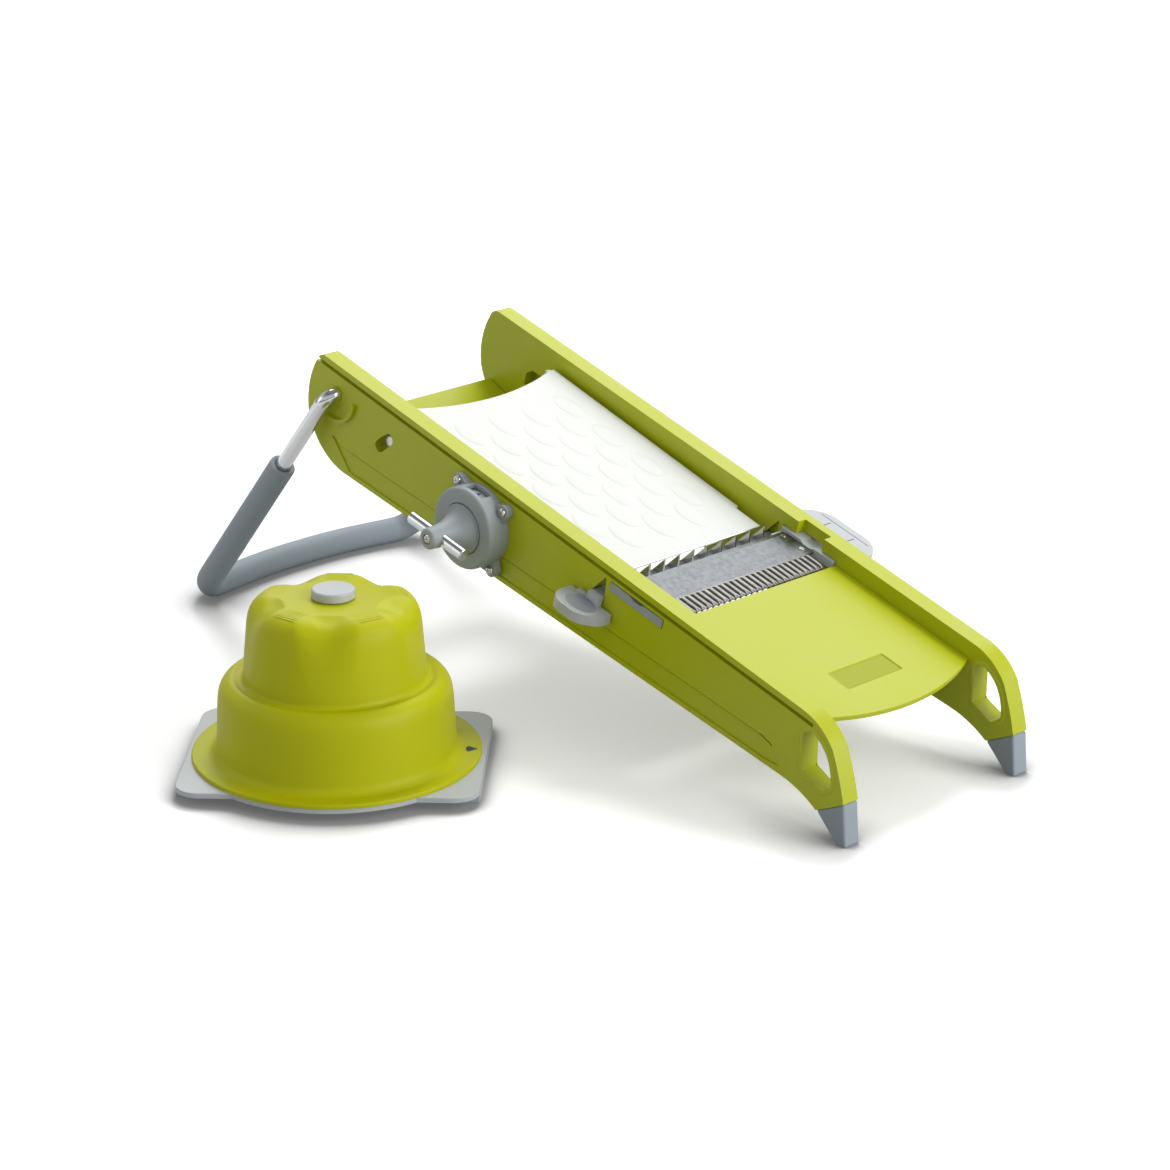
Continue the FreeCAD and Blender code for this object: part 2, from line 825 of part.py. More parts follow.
def ramp():
    body = new_body("ramp")
    sheet_pad(body, "board", [
        (size.ramp_start, -inner_half),
        (size.ramp_side_end, -inner_half, size.ramp_side_end + size.ramp_bow, 0),
        (size.ramp_side_end, inner_half),
        (size.ramp_start, inner_half),
    ], size.ramp_top, size.ramp_thick)
    under = size.ramp_top - size.ramp_thick
    sheet_pad(body, "beam", box_corners(
        size.ramp_start, -inner_half, size.ramp_start + size.ramp_rib_thick, inner_half),
        under, size.ramp_beam_drop)
    for name, middle in (("left_rib", -size.ramp_rib_spread), ("right_rib", size.ramp_rib_spread)):
        slab(body, name, [
            (size.ramp_start, under),
            (size.ramp_start, under - size.ramp_beam_drop),
            (size.ramp_rib_end, under - size.ramp_rib_drop / 2),
            (size.ramp_rib_end, under),
        ], middle + size.ramp_rib_thick / 2, size.ramp_rib_thick)
    keep(body, "ramp", ON_RAIL)


def rear_tie_bar():
    body = new_body("rear_tie_bar")
    slab(body, "bar", [
        (size.tie_back_x, size.tie_back_z),
        (size.tie_crest_x, size.tie_crest_z),
        (size.tie_front_x, size.tie_front_z),
        (size.tie_low_x, size.tie_low_z),
        (size.tie_foot_x, size.tie_foot_z),
    ], inner_half, inner_half * 2)
    keep(body, "rear_tie_bar", ON_RAIL)


# Slide plate with its pins

def slide_plate():
    body = new_body("slide_plate")
    half = size.plate_width / 2
    lean = size.plate_thick / tangent(size.slot_angle)
    fall = (size.plate_front_z - size.plate_back_z) / (size.plate_front - size.plate_back)

    def top_at(along):
        return size.plate_back_z + (along - size.plate_back) * fall

    slab(body, "board", [
        (size.plate_back, size.plate_back_z),
        (size.plate_front, size.plate_front_z),
        (size.plate_front - lean, size.plate_front_z - size.plate_thick),
        (size.plate_back, size.plate_back_z - size.plate_thick),
    ], half, size.plate_width)
    middle = size.plate_thick / 2
    skirt = [
        (size.skirt_back, top_at(size.skirt_back) - middle),
        (size.skirt_front, top_at(size.skirt_front) - middle),
        (size.skirt_front, size.skirt_nose_z),
        (size.skirt_mid_x, size.skirt_mid_z),
        (size.skirt_heel_x, size.skirt_heel_z),
        (size.skirt_back, size.skirt_tail_z),
    ]
    rib = [
        (size.plate_rib_from, top_at(size.plate_rib_from) - middle),
        (size.plate_rib_to, top_at(size.plate_rib_to) - middle),
        (size.plate_rib_to, top_at(size.plate_rib_to) - size.plate_thick - size.plate_rib_drop),
        (size.plate_rib_from, top_at(size.plate_rib_from) - size.plate_thick - size.plate_rib_drop),
    ]
    for side, sign in SIDES:
        slab(body, f"{side}_skirt", skirt, half if sign > 0 else size.skirt_thick - half, size.skirt_thick)
        slab(body, f"{side}_rib", rib, size.plate_rib_spread * sign, size.plate_rib_thick)
    bow_cut(body, half)
    for side, sign in SIDES:
        edge = half * sign
        sheet_pad(body, f"{side}_notch", box_corners(
            size.plate_notch_x, edge - size.plate_notch_depth,
            size.plate_front + size.plate_notch_depth, edge + size.plate_notch_depth),
            0, -size.skirt_nose_z - size.plate_thick, cut=True)
    for side, sign in SIDES:
        near = half if sign > 0 else size.skirt_thick - half
        disc(body, f"{side}_rear_hole", rear_pin, size.rear_pin_radius, near, size.skirt_thick, cut=True)
        disc(body, f"{side}_front_hole", cam_pin, size.cam_pin_radius, near, size.skirt_thick, cut=True)
    keep(body, "slide_plate", ON_RAIL)


def bow_cut(body, half):
    """Hollow the rear edge of the plate to a shallow arc between its corners."""
    inside = half - size.skirt_thick
    sheet_pad(body, "rear_arc", [
        (size.plate_back, -inside, size.plate_back + size.plate_bow, 0),
        (size.plate_back, inside),
        (size.plate_back - size.plate_bow, inside),
        (size.plate_back - size.plate_bow, -inside),
    ], 0, -size.plate_back_z + size.plate_thick * 2, cut=True)


def edge_strip():
    """Steel strip on the leaning front face of the plate."""
    body = new_body("plate_edge_strip")
    width = size.plate_width - size.plate_notch_depth * 2
    lean = size.plate_thick / tangent(size.slot_angle)
    out = size.edge_strip_thick / sine(size.slot_angle)
    slab(body, "strip", [
        (size.plate_front, size.plate_front_z),
        (size.plate_front + out, size.plate_front_z),
        (size.plate_front - lean + out, size.plate_front_z - size.plate_thick),
        (size.plate_front - lean, size.plate_front_z - size.plate_thick),
    ], width / 2, width)
    keep(body, "plate_edge_strip", ON_RAIL)


def plate_pins():
    skirt_inside = size.plate_width / 2 - size.skirt_thick
    rear_reach = half_width - size.rear_pin_inset - skirt_inside
    pins = [
        cylinder(f"{side}_rear_pin", size.rear_pin_radius, rear_reach,
                 (rear_pin[0], skirt_inside * sign, rear_pin[1]), (0, sign, 0))
        for side, sign in SIDES]
    keep(join("Compound", "rear_guide_pins", pins), "rear_guide_pins", ON_RAIL)
    follower_reach = cam_face + size.scroll_depth - size.cam_gap - skirt_inside
    follower = cylinder("follower", size.cam_pin_radius, follower_reach,
                        (cam_pin[0], -skirt_inside, cam_pin[1]), (0, -1, 0))
    keep(join("Compound", "cam_follower_pin", [follower]), "cam_follower_pin", ON_RAIL)
    guide_reach = inner_half + size.blind_slot_depth - size.rear_pin_inset / 2 - skirt_inside
    guide = cylinder("guide", size.cam_pin_radius, guide_reach,
                     (cam_pin[0], skirt_inside, cam_pin[1]), (0, 1, 0))
    keep(join("Compound", "front_guide_pin", [guide]), "front_guide_pin", ON_RAIL)


# Thickness dial

def dial_housing():
    body = new_body("dial_housing")
    front = half_width + size.housing_height
    cavity = size.housing_height - size.housing_front
    disc(body, "drum", dial_centre, size.housing_radius, -half_width, size.housing_height)
    for count, centre in enumerate(lug_places(), start=1):
        disc(body, f"lug_{count}", centre, size.lug_radius, -half_width, size.lug_height)
        slab(body, f"ear_{count}", ear_corners(count - 1), -half_width, size.lug_height)
    disc(body, "cavity", dial_centre, size.housing_radius - size.housing_wall, -half_width, cavity, cut=True)
    disc(body, "mouth", dial_centre, size.boss_radius + size.boss_gap, -half_width,
         size.housing_height, cut=True)
    for count, centre in enumerate(lug_places(), start=1):
        disc(body, f"lug_hole_{count}", centre, size.screw_radius + size.screw_fit, -half_width,
             size.lug_height, cut=True)
    window_y = -half_width - size.dial_window_back
    sheet_pad(body, "number_window", box_corners(
        size.dial_x - size.dial_window_width / 2, window_y - size.dial_window_depth,
        size.dial_x + size.dial_window_width / 2, window_y),
        size.dial_z + size.housing_radius, size.housing_radius / 2, cut=True)
    doc.recompute()
    rim = rim_edge(body.Shape, vector((size.dial_x, -front, size.dial_z)), number(size.housing_radius))
    before = body.Tip
    fillet = body.newObject("PartDesign::Fillet", "front_round")
    fillet.Base = (before, [rim])
    tie(fillet, "Radius", size.housing_round)
    body.Tip = fillet
    keep(body, "dial_housing", ON_RAIL)


def rim_edge(shape, centre, radius):
    """Name of the round edge with this centre and radius."""
    for place, edge in enumerate(shape.Edges, start=1):
        curve = edge.Curve
        if isinstance(curve, Part.Circle) and curve.Center.distanceToPoint(centre) < radius / 100:
            if abs(curve.Radius - radius) < radius / 100:
                return f"Edge{place}"
    raise ValueError("no such rim")


def housing_screws():
    screws = []
    face = half_width + size.lug_height
    for count, (along, height) in enumerate(lug_places(), start=1):
        head = cylinder(f"head_{count}", size.screw_head_radius, size.screw_head_height,
                        (along, -face, height), (0, -1, 0))
        shank = cylinder(f"shank_{count}", size.screw_radius, size.screw_length - size.screw_fit,
                         (along, -face, height), (0, 1, 0))
        screws.append(join("MultiFuse", f"screw_{count}", [head, shank]))
    keep(join("Compound", "housing_screws", screws), "housing_screws", ON_RAIL)


def cam_disc():
    """Number drum with the spiral groove that drives the plate's pin, one steady rise per turn."""
    body = new_body("cam_blank")
    radius = size.housing_radius - size.housing_wall - size.cam_gap
    thick = size.housing_height - size.housing_front - size.cam_gap * 2
    boss_length = size.housing_front + size.cam_gap + size.boss_proud
    disc(body, "drum", dial_centre, radius, -cam_face, thick)
    disc(body, "boss", dial_centre, size.boss_radius, -cam_face - thick, boss_length)
    disc(body, "spindle", dial_centre, size.spindle_radius, size.spindle_length - cam_face,
         size.spindle_length)
    groove = shaped("scroll_groove", scroll_groove())
    keep(cut_from("cam_disc", body, groove), "cam_disc", ON_RAIL)


def scroll_groove():
    rise = SIZES["scroll_pitch"] / (2 * math.pi)
    spare = math.radians(SIZES["scroll_spare"])
    first = -SIZES["slide_up"] / rise - spare
    last = SIZES["slide_down"] / rise + spare
    half = SIZES["cam_pin_radius"] + SIZES["scroll_slack"]
    face = number(cam_face)

    def point(turn, offset):
        radius = SIZES["cam_rest"] - rise * turn + offset
        angle = math.radians(SIZES["slot_angle"]) + turn
        return FreeCAD.Vector(SIZES["dial_x"] + radius * math.cos(angle), -face,
                              SIZES["dial_z"] + radius * math.sin(angle))

    turns = [first + (last - first) * step / SPIRAL_STEPS for step in range(SPIRAL_STEPS + 1)]
    outer = Part.BSplineCurve()
    outer.interpolate([point(turn, half) for turn in turns])
    inner = Part.BSplineCurve()
    inner.interpolate([point(turn, -half) for turn in turns])
    swing = half / SIZES["cam_rest"]
    caps = []
    for end, beyond in ((first, -swing), (last, swing)):
        caps.append(Part.Arc(point(end, half), point(end + beyond, 0), point(end, -half)))
    wire = Part.Wire([outer.toShape(), caps[1].toShape(), inner.toShape(), caps[0].toShape()])
    return Part.Face(wire).extrude(FreeCAD.Vector(0, -SIZES["scroll_depth"], 0))


def dial_hub():
    body = new_body("hub_blank")
    foot = half_width + size.housing_height + size.boss_proud
    end = -foot - size.hub_length
    turned(body, "cone", [
        (0, -foot),
        (0, end),
        (size.hub_tip_radius - size.hub_chamfer, end),
        (size.hub_tip_radius, end + size.hub_chamfer),
        (size.hub_neck_radius, -foot - size.hub_neck_at, size.hub_waist_radius, -foot - size.hub_waist_at),
        (size.hub_base_radius, -foot),
    ], (size.dial_x, 0, size.dial_z))
    disc(body, "screw_sink", dial_centre, size.hub_screw_radius, end + size.hub_screw_sink,
         size.hub_screw_sink, cut=True)
    disc(body, "screw_pilot", dial_centre, size.screw_radius,
         end + size.hub_screw_sink + size.hub_screw_length, size.hub_screw_length, cut=True)
    keep(cut_from("hub_with_hole", body, cross_rod("rod_hole", foot)), "dial_hub", ON_RAIL)
    keep(join("Compound", "dial_cross_rod", [cross_rod("rod", foot)]), "dial_cross_rod", ON_RAIL)
    head = cylinder("hub_screw_head", size.hub_screw_radius, size.hub_screw_sink,
                    (size.dial_x, end + size.hub_screw_sink, size.dial_z), (0, -1, 0))
    shank = cylinder("hub_screw_shank", size.screw_radius, size.hub_screw_length,
                     (size.dial_x, end + size.hub_screw_sink, size.dial_z), (0, 1, 0))
    keep(join("MultiFuse", "hub_screw", [head, shank]), "hub_screw", ON_RAIL)


def cross_rod(name, foot):
    turn = size.cross_rod_turn
    half = size.cross_rod_length / 2
    start = (size.dial_x - half * cosine(turn), -foot - size.cross_rod_at, size.dial_z - half * sine(turn))
    axis = (math.cos(math.radians(turn.value)), 0, math.sin(math.radians(turn.value)))
    return cylinder(name, size.cross_rod_radius, size.cross_rod_length, start, axis)


# Blade cassette and julienne comb

def cutting_blade():
    """Flat blade with a bevelled straight edge behind and a crinkled edge in front, one sheet of steel."""
    top = SIZES["blade_top"]
    thick = SIZES["blade_thick"]
    half = SIZES["carrier_inner"]
    flat = Part.makePolygon([
        FreeCAD.Vector(SIZES["blade_back"], -half, top - thick + SIZES["blade_edge"]),
        FreeCAD.Vector(SIZES["blade_back"] + SIZES["blade_bevel"], -half, top),
        FreeCAD.Vector(SIZES["crinkle_start"], -half, top),
        FreeCAD.Vector(SIZES["crinkle_start"], -half, top - thick),
        FreeCAD.Vector(SIZES["blade_back"], -half, top - thick),
        FreeCAD.Vector(SIZES["blade_back"], -half, top - thick + SIZES["blade_edge"]),
    ])
    sheet_part = Part.Face(flat).extrude(FreeCAD.Vector(0, half * 2, 0))
    wave = crinkle_section(top - thick / 2)
    crinkle = wave.extrude(FreeCAD.Vector(SIZES["carrier_front"] - SIZES["crinkle_start"], 0, 0))
    whole = shaped("whole_blade", sheet_part.fuse(crinkle).removeSplitter())
    holes = join("Compound", "rivet_holes", rivet_pins("hole"))
    keep(cut_from("cutting_blade", whole, holes), "cutting_blade", ON_RAIL)


def crinkle_section(middle):
    """Zigzag section of the crinkled edge, every other fold up."""
    pitch = SIZES["crinkle_pitch"]
    count = round(SIZES["crinkle_count"])
    half_thick = SIZES["blade_thick"] / 2
    folds = []
    for fold in range(count * 2 + 1):
        rise = SIZES["crinkle_height"] if fold % 2 else -SIZES["crinkle_height"]
        folds.append((pitch * (fold - count) / 2, middle + rise))
    upper = [FreeCAD.Vector(SIZES["crinkle_start"], across, height + half_thick) for across, height in folds]
    lower = [FreeCAD.Vector(SIZES["crinkle_start"], across, height - half_thick) for across, height in folds]
    return Part.Face(Part.makePolygon([*upper, *reversed(lower), upper[0]]))


def carrier_block(side, sign):
    body = new_body(f"blade_carrier_{side}")
    outer = half_width + size.carrier_proud
    length = outer - size.carrier_inner
    right_y = outer if sign > 0 else -size.carrier_inner
    mid = (size.carrier_back + size.carrier_front) / 2
    notch = size.carrier_notch
    slab(body, "bar", [
        (size.carrier_back, size.carrier_bottom),
        (size.carrier_front, size.carrier_bottom),
        (size.carrier_front, size.carrier_top),
        (mid + notch * 2, size.carrier_top),
        (mid + notch, size.carrier_top - notch / 2),
        (mid - notch, size.carrier_top - notch / 2),
        (mid - notch * 2, size.carrier_top),
        (size.carrier_back, size.carrier_top),
    ], right_y, length)
    ledge_right = size.carrier_inner if sign > 0 else size.ledge_reach - size.carrier_inner
    under = size.blade_top - size.blade_thick
    slab(body, "ledge", box_corners(size.carrier_back, size.carrier_bottom, size.ledge_front, under),
         ledge_right, size.ledge_reach)
    if sign > 0:
        cassette_tab(body, outer)
    for name, along in (("back", size.rivet_back), ("front", size.rivet_front)):
        sketch = new_sketch(body, f"{name}_rivet_circle", "XY_Plane", (0, 0, under))
        draw_circle(sketch, (along, (size.carrier_inner - size.rivet_inset) * sign), size.rivet_radius)
        add_feature(body, "Pocket", f"{name}_rivet_hole", sketch, under - size.carrier_bottom, False)
    keep(body, f"blade_carrier_{side}", ON_RAIL)


def cassette_tab(body, outer):
    """Rounded thumb tab outside the right side frame, as thick as the hand grip needs."""
    reach = half_width + size.cassette_tab_reach
    round_off = size.cassette_tab_round
    bulge = corner_inset(round_off)
    sheet_pad(body, "thumb_tab", [
        (size.cassette_tab_back, outer),
        (size.cassette_tab_front, outer),
        (size.cassette_tab_front, reach - round_off,
         size.cassette_tab_front - bulge, reach - bulge),
        (size.cassette_tab_front - round_off, reach),
        (size.cassette_tab_back + round_off, reach,
         size.cassette_tab_back + bulge, reach - bulge),
        (size.cassette_tab_back, reach - round_off),
    ], size.carrier_bottom + size.cassette_tab_thick, size.cassette_tab_thick)


def rivet_pins(kind):
    """Pins through the blade's ends into the carriers, two at each end."""
    under = size.carrier_bottom
    length = size.blade_top + size.rivet_head - under
    pins = []
    for side, sign in SIDES:
        across = (size.carrier_inner - size.rivet_inset) * sign
        for name, along in (("back", size.rivet_back), ("front", size.rivet_front)):
            pins.append(cylinder(f"{side}_{name}_{kind}", size.rivet_radius, length,
                                 (along, across, under), (0, 0, 1)))
    return pins


def comb_section(gap=0):
    """Three-sided section that the comb slides out through, widened by a gap."""
    return [
        (size.comb_back_x - gap * 2, size.comb_floor - gap),
        (size.comb_front_x + gap, size.comb_floor - gap),
        (size.comb_apex_x + gap, size.comb_apex_z + gap),
        (size.comb_apex_x - gap, size.comb_apex_z + gap),
    ]


def julienne_comb():
    bar = new_body("comb_bar")
    rise = size.comb_apex_z - size.comb_floor
    share = size.comb_bar_height / rise
    back_top = size.comb_back_x + (size.comb_apex_x - size.comb_back_x) * share
    front_top = size.comb_front_x + (size.comb_apex_x - size.comb_front_x) * share
    top = size.comb_floor + size.comb_bar_height
    far_end = inner_half + size.comb_seat - size.comb_gap
    near_end = half_width + size.comb_proud
    slab(bar, "bar", [
        (size.comb_back_x, size.comb_floor),
        (size.comb_front_x, size.comb_floor),
        (front_top, top),
        (back_top, top),
    ], far_end, far_end + near_end)
    keep(bar, "comb_bar", ON_RAIL)
    teeth = []
    count = round(SIZES["tooth_count"])
    for place in range(count):
        tooth = new_body(f"tooth_{place + 1}")
        middle = size.tooth_pitch * (place - (count - 1) / 2)
        slab(tooth, "fin", [
            (back_top, top),
            (front_top, top),
            (size.comb_apex_x, size.comb_apex_z),
        ], middle + size.tooth_thick / 2, size.tooth_thick)
        teeth.append(tooth)
    keep(join("Compound", "julienne_teeth", teeth), "julienne_teeth", ON_RAIL)
    comb_tab(back_top, near_end)


def comb_tab(back_top, near_end):
    body = new_body("comb_tab")
    reach = half_width + size.comb_tab_reach
    round_off = size.comb_tab_round
    bulge = corner_inset(round_off)
    sheet_pad(body, "tab", [
        (size.comb_tab_back, -near_end),
        (size.comb_tab_back, round_off - reach, size.comb_tab_back + bulge, bulge - reach),
        (size.comb_tab_back + round_off, -reach),
        (size.comb_tab_front - round_off, -reach),
        (size.comb_tab_front, round_off - reach),
        (size.comb_tab_front, -near_end),
    ], size.comb_tab_top, size.comb_tab_thick)
    ridge_top = size.comb_tab_top + size.comb_ridge_height
    sheet_pad(body, "ridge", box_corners(
        size.comb_ridge_back, -near_end - size.comb_ridge_thick,
        size.comb_front_x, -near_end), ridge_top, size.comb_ridge_height + size.comb_dish_depth)
    stem_top = size.comb_floor + size.comb_bar_height
    sheet_pad(body, "stem", box_corners(
        back_top, -near_end - size.comb_ridge_thick, size.comb_front_x, -near_end),
        stem_top, stem_top - size.comb_tab_top + size.comb_dish_depth)
    middle = (size.comb_tab_back + size.comb_tab_front) / 2
    sketch = new_sketch(body, "dish_circle", "XY_Plane", (0, 0, size.comb_tab_top))
    dish_y = size.comb_dish_radius + size.comb_dish_depth * 2 - reach
    draw_circle(sketch, (middle, dish_y), size.comb_dish_radius)
    add_feature(body, "Pocket", "dish", sketch, size.comb_dish_depth, False)
    keep(body, "comb_tab", ON_RAIL)


# Rear leg: a bent steel rod in a rubber sleeve

def rounded_path(points, radii):
    """Straight runs joined by tangent arcs, one radius for each inner point."""
    edges = []
    here = points[0]
    for before, corner, after, radius in zip(points, points[1:], points[2:], radii):
        back = (before - corner).normalize()
        on = (after - corner).normalize()
        half_turn = back.getAngle(on) / 2
        setback = radius / math.tan(half_turn)
        start = corner + back * setback
        end = corner + on * setback
        inward = (back + on).normalize()
        middle = corner + inward * (radius / math.sin(half_turn) - radius)
        edges.append(Part.LineSegment(here, start).toShape())
        edges.append(Part.Arc(start, middle, end).toShape())
        here = end
    edges.append(Part.LineSegment(here, points[-1]).toShape())
    return Part.Wire(edges)


def tube_along(path, radius):
    start = path.Edges[0]
    direction = start.tangentAt(start.FirstParameter)
    ring = Part.Wire(Part.makeCircle(radius, start.valueAt(start.FirstParameter), direction))
    return path.makePipeShell([ring], True, False)


def leg_points():
    slope = math.radians(SIZES["rail_slope"])
    pivot_x = SIZES["pivot_x"] * math.cos(slope) + SIZES["pivot_z"] * math.sin(slope)
    pivot_z = number(rail_height) - SIZES["pivot_x"] * math.sin(slope) + SIZES["pivot_z"] * math.cos(slope)
    foot_x = -SIZES["leg_foot_back"]
    foot_z = SIZES["sleeve_radius"]
    left = [
        FreeCAD.Vector(pivot_x, -SIZES["rod_end"], pivot_z),
        FreeCAD.Vector(pivot_x, -SIZES["leg_top_half"], pivot_z),
        FreeCAD.Vector(foot_x, -SIZES["leg_foot_half"], foot_z),
        FreeCAD.Vector(foot_x - SIZES["leg_bow"], -SIZES["leg_bow_half"], foot_z),
    ]
    right = [FreeCAD.Vector(point.x, -point.y, point.z) for point in reversed(left)]
    return left + right


def bow_radius(points):
    """Arc of the bar's gentle bends, as large as their share of the straight runs allows."""
    run = (points[3] - points[2]).Length
    turn = (points[2] - points[3]).getAngle(points[4] - points[3])
    return min(run, (points[4] - points[3]).Length) * BEND_SHARE * math.tan(turn / 2)


def rear_leg():
    points = leg_points()
    bow = bow_radius(points)
    radii = [SIZES["rod_bend"], SIZES["leg_corner"], bow, bow, SIZES["leg_corner"], SIZES["rod_bend"]]
    rod = tube_along(rounded_path(points, radii), SIZES["rod_radius"])
    keep(shaped("leg_rod", rod), "leg_rod", ON_FLOOR)
    down = (points[2] - points[1]).normalize()
    start = points[1] + down * SIZES["sleeve_start"]
    finish = FreeCAD.Vector(start.x, -start.y, start.z)
    path = rounded_path([start, *points[2:6], finish], radii[1:5])
    sleeve = tube_along(path, SIZES["sleeve_radius"])
    bore = tube_along(path, SIZES["rod_radius"] + SIZES["sleeve_fit"])
    keep(shaped("leg_sleeve", sleeve.cut(bore)), "leg_sleeve", ON_FLOOR)


# Food pusher

def pusher_base():
    body = new_body("pusher_base")
    lip_inside = half_width + size.channel_gap
    x = lip_inside + size.lip_thick
    y = size.base_depth / 2
    cut_off = size.base_round
    bulge = corner_inset(cut_off)
    sheet_pad(body, "plate", [
        (x, cut_off - y),
        (x, y - cut_off, x - bulge, y - bulge),
        (x - cut_off, y),
        (cut_off - x, y, bulge - x, y - bulge),
        (-x, y - cut_off),
        (-x, cut_off - y, bulge - x, bulge - y),
        (cut_off - x, -y),
        (x - cut_off, -y, x - bulge, bulge - y),
    ], size.base_top, size.base_thick)
    under = size.base_top - size.base_thick
    rib_outside = inner_half - size.channel_gap
    lip_half = y - cut_off
    for side, sign in SIDES:
        sheet_pad(body, f"{side}_lip", box_corners(
            *ordered(lip_inside * sign, -lip_half, x * sign, lip_half)), under, under)
        sheet_pad(body, f"{side}_hook", box_corners(
            *ordered((lip_inside - size.hook_reach) * sign, -lip_half, lip_inside * sign, lip_half)),
            size.hook_height, size.hook_height)
        sheet_pad(body, f"{side}_guide", box_corners(
            *ordered((rib_outside - size.guide_rib_thick) * sign, -lip_half, rib_outside * sign, lip_half)),
            under, under)
    sketch = new_sketch(body, "ring_room_circle", "XY_Plane", (0, 0, under))
    draw_circle(sketch, (0, 0), base_opening + size.ring_lip + size.ring_room)
    add_feature(body, "Pocket", "ring_room", sketch, under, False)
    sketch = new_sketch(body, "round_circle", "XY_Plane", (0, 0, size.base_top))
    draw_circle(sketch, (0, 0), flange_radius - size.base_disc_in)
    add_feature(body, "Pad", "round_plate", sketch, size.base_thick, True)
    sketch = new_sketch(body, "opening_circle", "XY_Plane", (0, 0, size.base_top))
    draw_circle(sketch, (0, 0), base_opening)
    add_feature(body, "Pocket", "opening", sketch, size.base_thick, False)
    keep(body, "pusher_base", BY_PUSHER)


def ordered(left, low, right, high):
    """The same box with its smaller X first."""
    return (left, low, right, high) if number(left) < number(right) else (right, low, left, high)


def dome_drum():
    """Lower moulding of the dome, with the flange and the collar that turns in the base."""
    body = new_body("dome_drum")
    bottom = size.base_top
    flange_top = bottom + size.flange_thick
    collar_out = base_opening - size.collar_gap
    collar_in = collar_out - size.collar_wall
    collar_low = bottom - size.base_thick - size.ring_play
    wall = size.dome_wall
    fillet_mid = corner_inset(size.drum_fillet)
    turned(body, "drum", [
        (flange_radius, bottom),
        (flange_radius, flange_top),
        (size.drum_foot_radius + size.drum_fillet, flange_top,
         size.drum_foot_radius + fillet_mid, flange_top + fillet_mid),
        (size.drum_foot_radius, flange_top + size.drum_fillet),
        (drum_top_radius, size.drum_top, *shoulder),
        ledge,
        valley,
        (chamber_radius, valley[1]),
        (chamber_radius, valley[1] - wall),
        (ledge[0] - wall, ledge[1] - wall, shoulder[0] - wall, shoulder[1] - wall),
        (drum_top_radius - wall, size.drum_top - wall),
        (size.drum_foot_radius - wall, flange_top),
        (collar_in, flange_top),
        (collar_in, collar_low),
        (collar_out, collar_low),
        (collar_out, bottom),
    ], role="XZ_Plane")
    keep(body, "dome_drum", BY_PUSHER)


def dome_crown():
    """Upper moulding of the dome, with the finger scoops and the guide of the plunger."""
    body = new_body("dome_crown")
    hole = size.plunger_radius + size.running_fit
    turned(body, "crown", [
        valley,
        dome_foot,
        (*dome_top, *crown_bend),
        crown_edge,
        (hole, crown_top),
        (hole, chamber_top - size.boss_drop),
        (hole + size.boss_wall, chamber_top - size.boss_drop),
        (hole + size.boss_wall, chamber_top),
        (chamber_radius - size.chamber_brow_in, chamber_top,
         chamber_radius - size.chamber_bend_in, chamber_top - size.chamber_bend_drop),
        (chamber_radius, chamber_top - size.chamber_brow_drop),
        (chamber_radius, valley[1]),
    ], role="XZ_Plane")
    scoop = body.newObject("PartDesign::SubtractiveSphere", "finger_scoop")
    tie(scoop, "Radius", size.scoop_radius)
    plane = next(item for item in body.Origin.OriginFeatures if item.Role == "XY_Plane")
    scoop.AttachmentSupport = [(plane, "")]
    scoop.MapMode = "FlatFace"
    tie(scoop, "AttachmentOffset.Base.y", -(dome_top[0] + size.scoop_out))
    tie(scoop, "AttachmentOffset.Base.z", crown_top + size.scoop_up)
    ring = body.newObject("PartDesign::PolarPattern", "finger_scoops")
    ring.Originals = [scoop]
    upright = next(item for item in body.Origin.OriginFeatures if item.Role == "Z_Axis")
    ring.Axis = (upright, [""])
    ring.Angle = 360
    tie(ring, "Occurrences", size.scoop_count)
    body.Tip = ring
    keep(body, "dome_crown", BY_PUSHER)


def retaining_ring():
    """Ring under the base that keeps the dome on it while it turns."""
    body = new_body("dome_retaining_ring")
    collar_out = base_opening - size.collar_gap
    top = size.base_top - size.base_thick - size.ring_play
    turned(body, "ring", box_corners(
        collar_out - size.collar_wall, top - size.ring_thick,
        base_opening + size.ring_lip, top), role="XZ_Plane")
    keep(body, "dome_retaining_ring", BY_PUSHER)


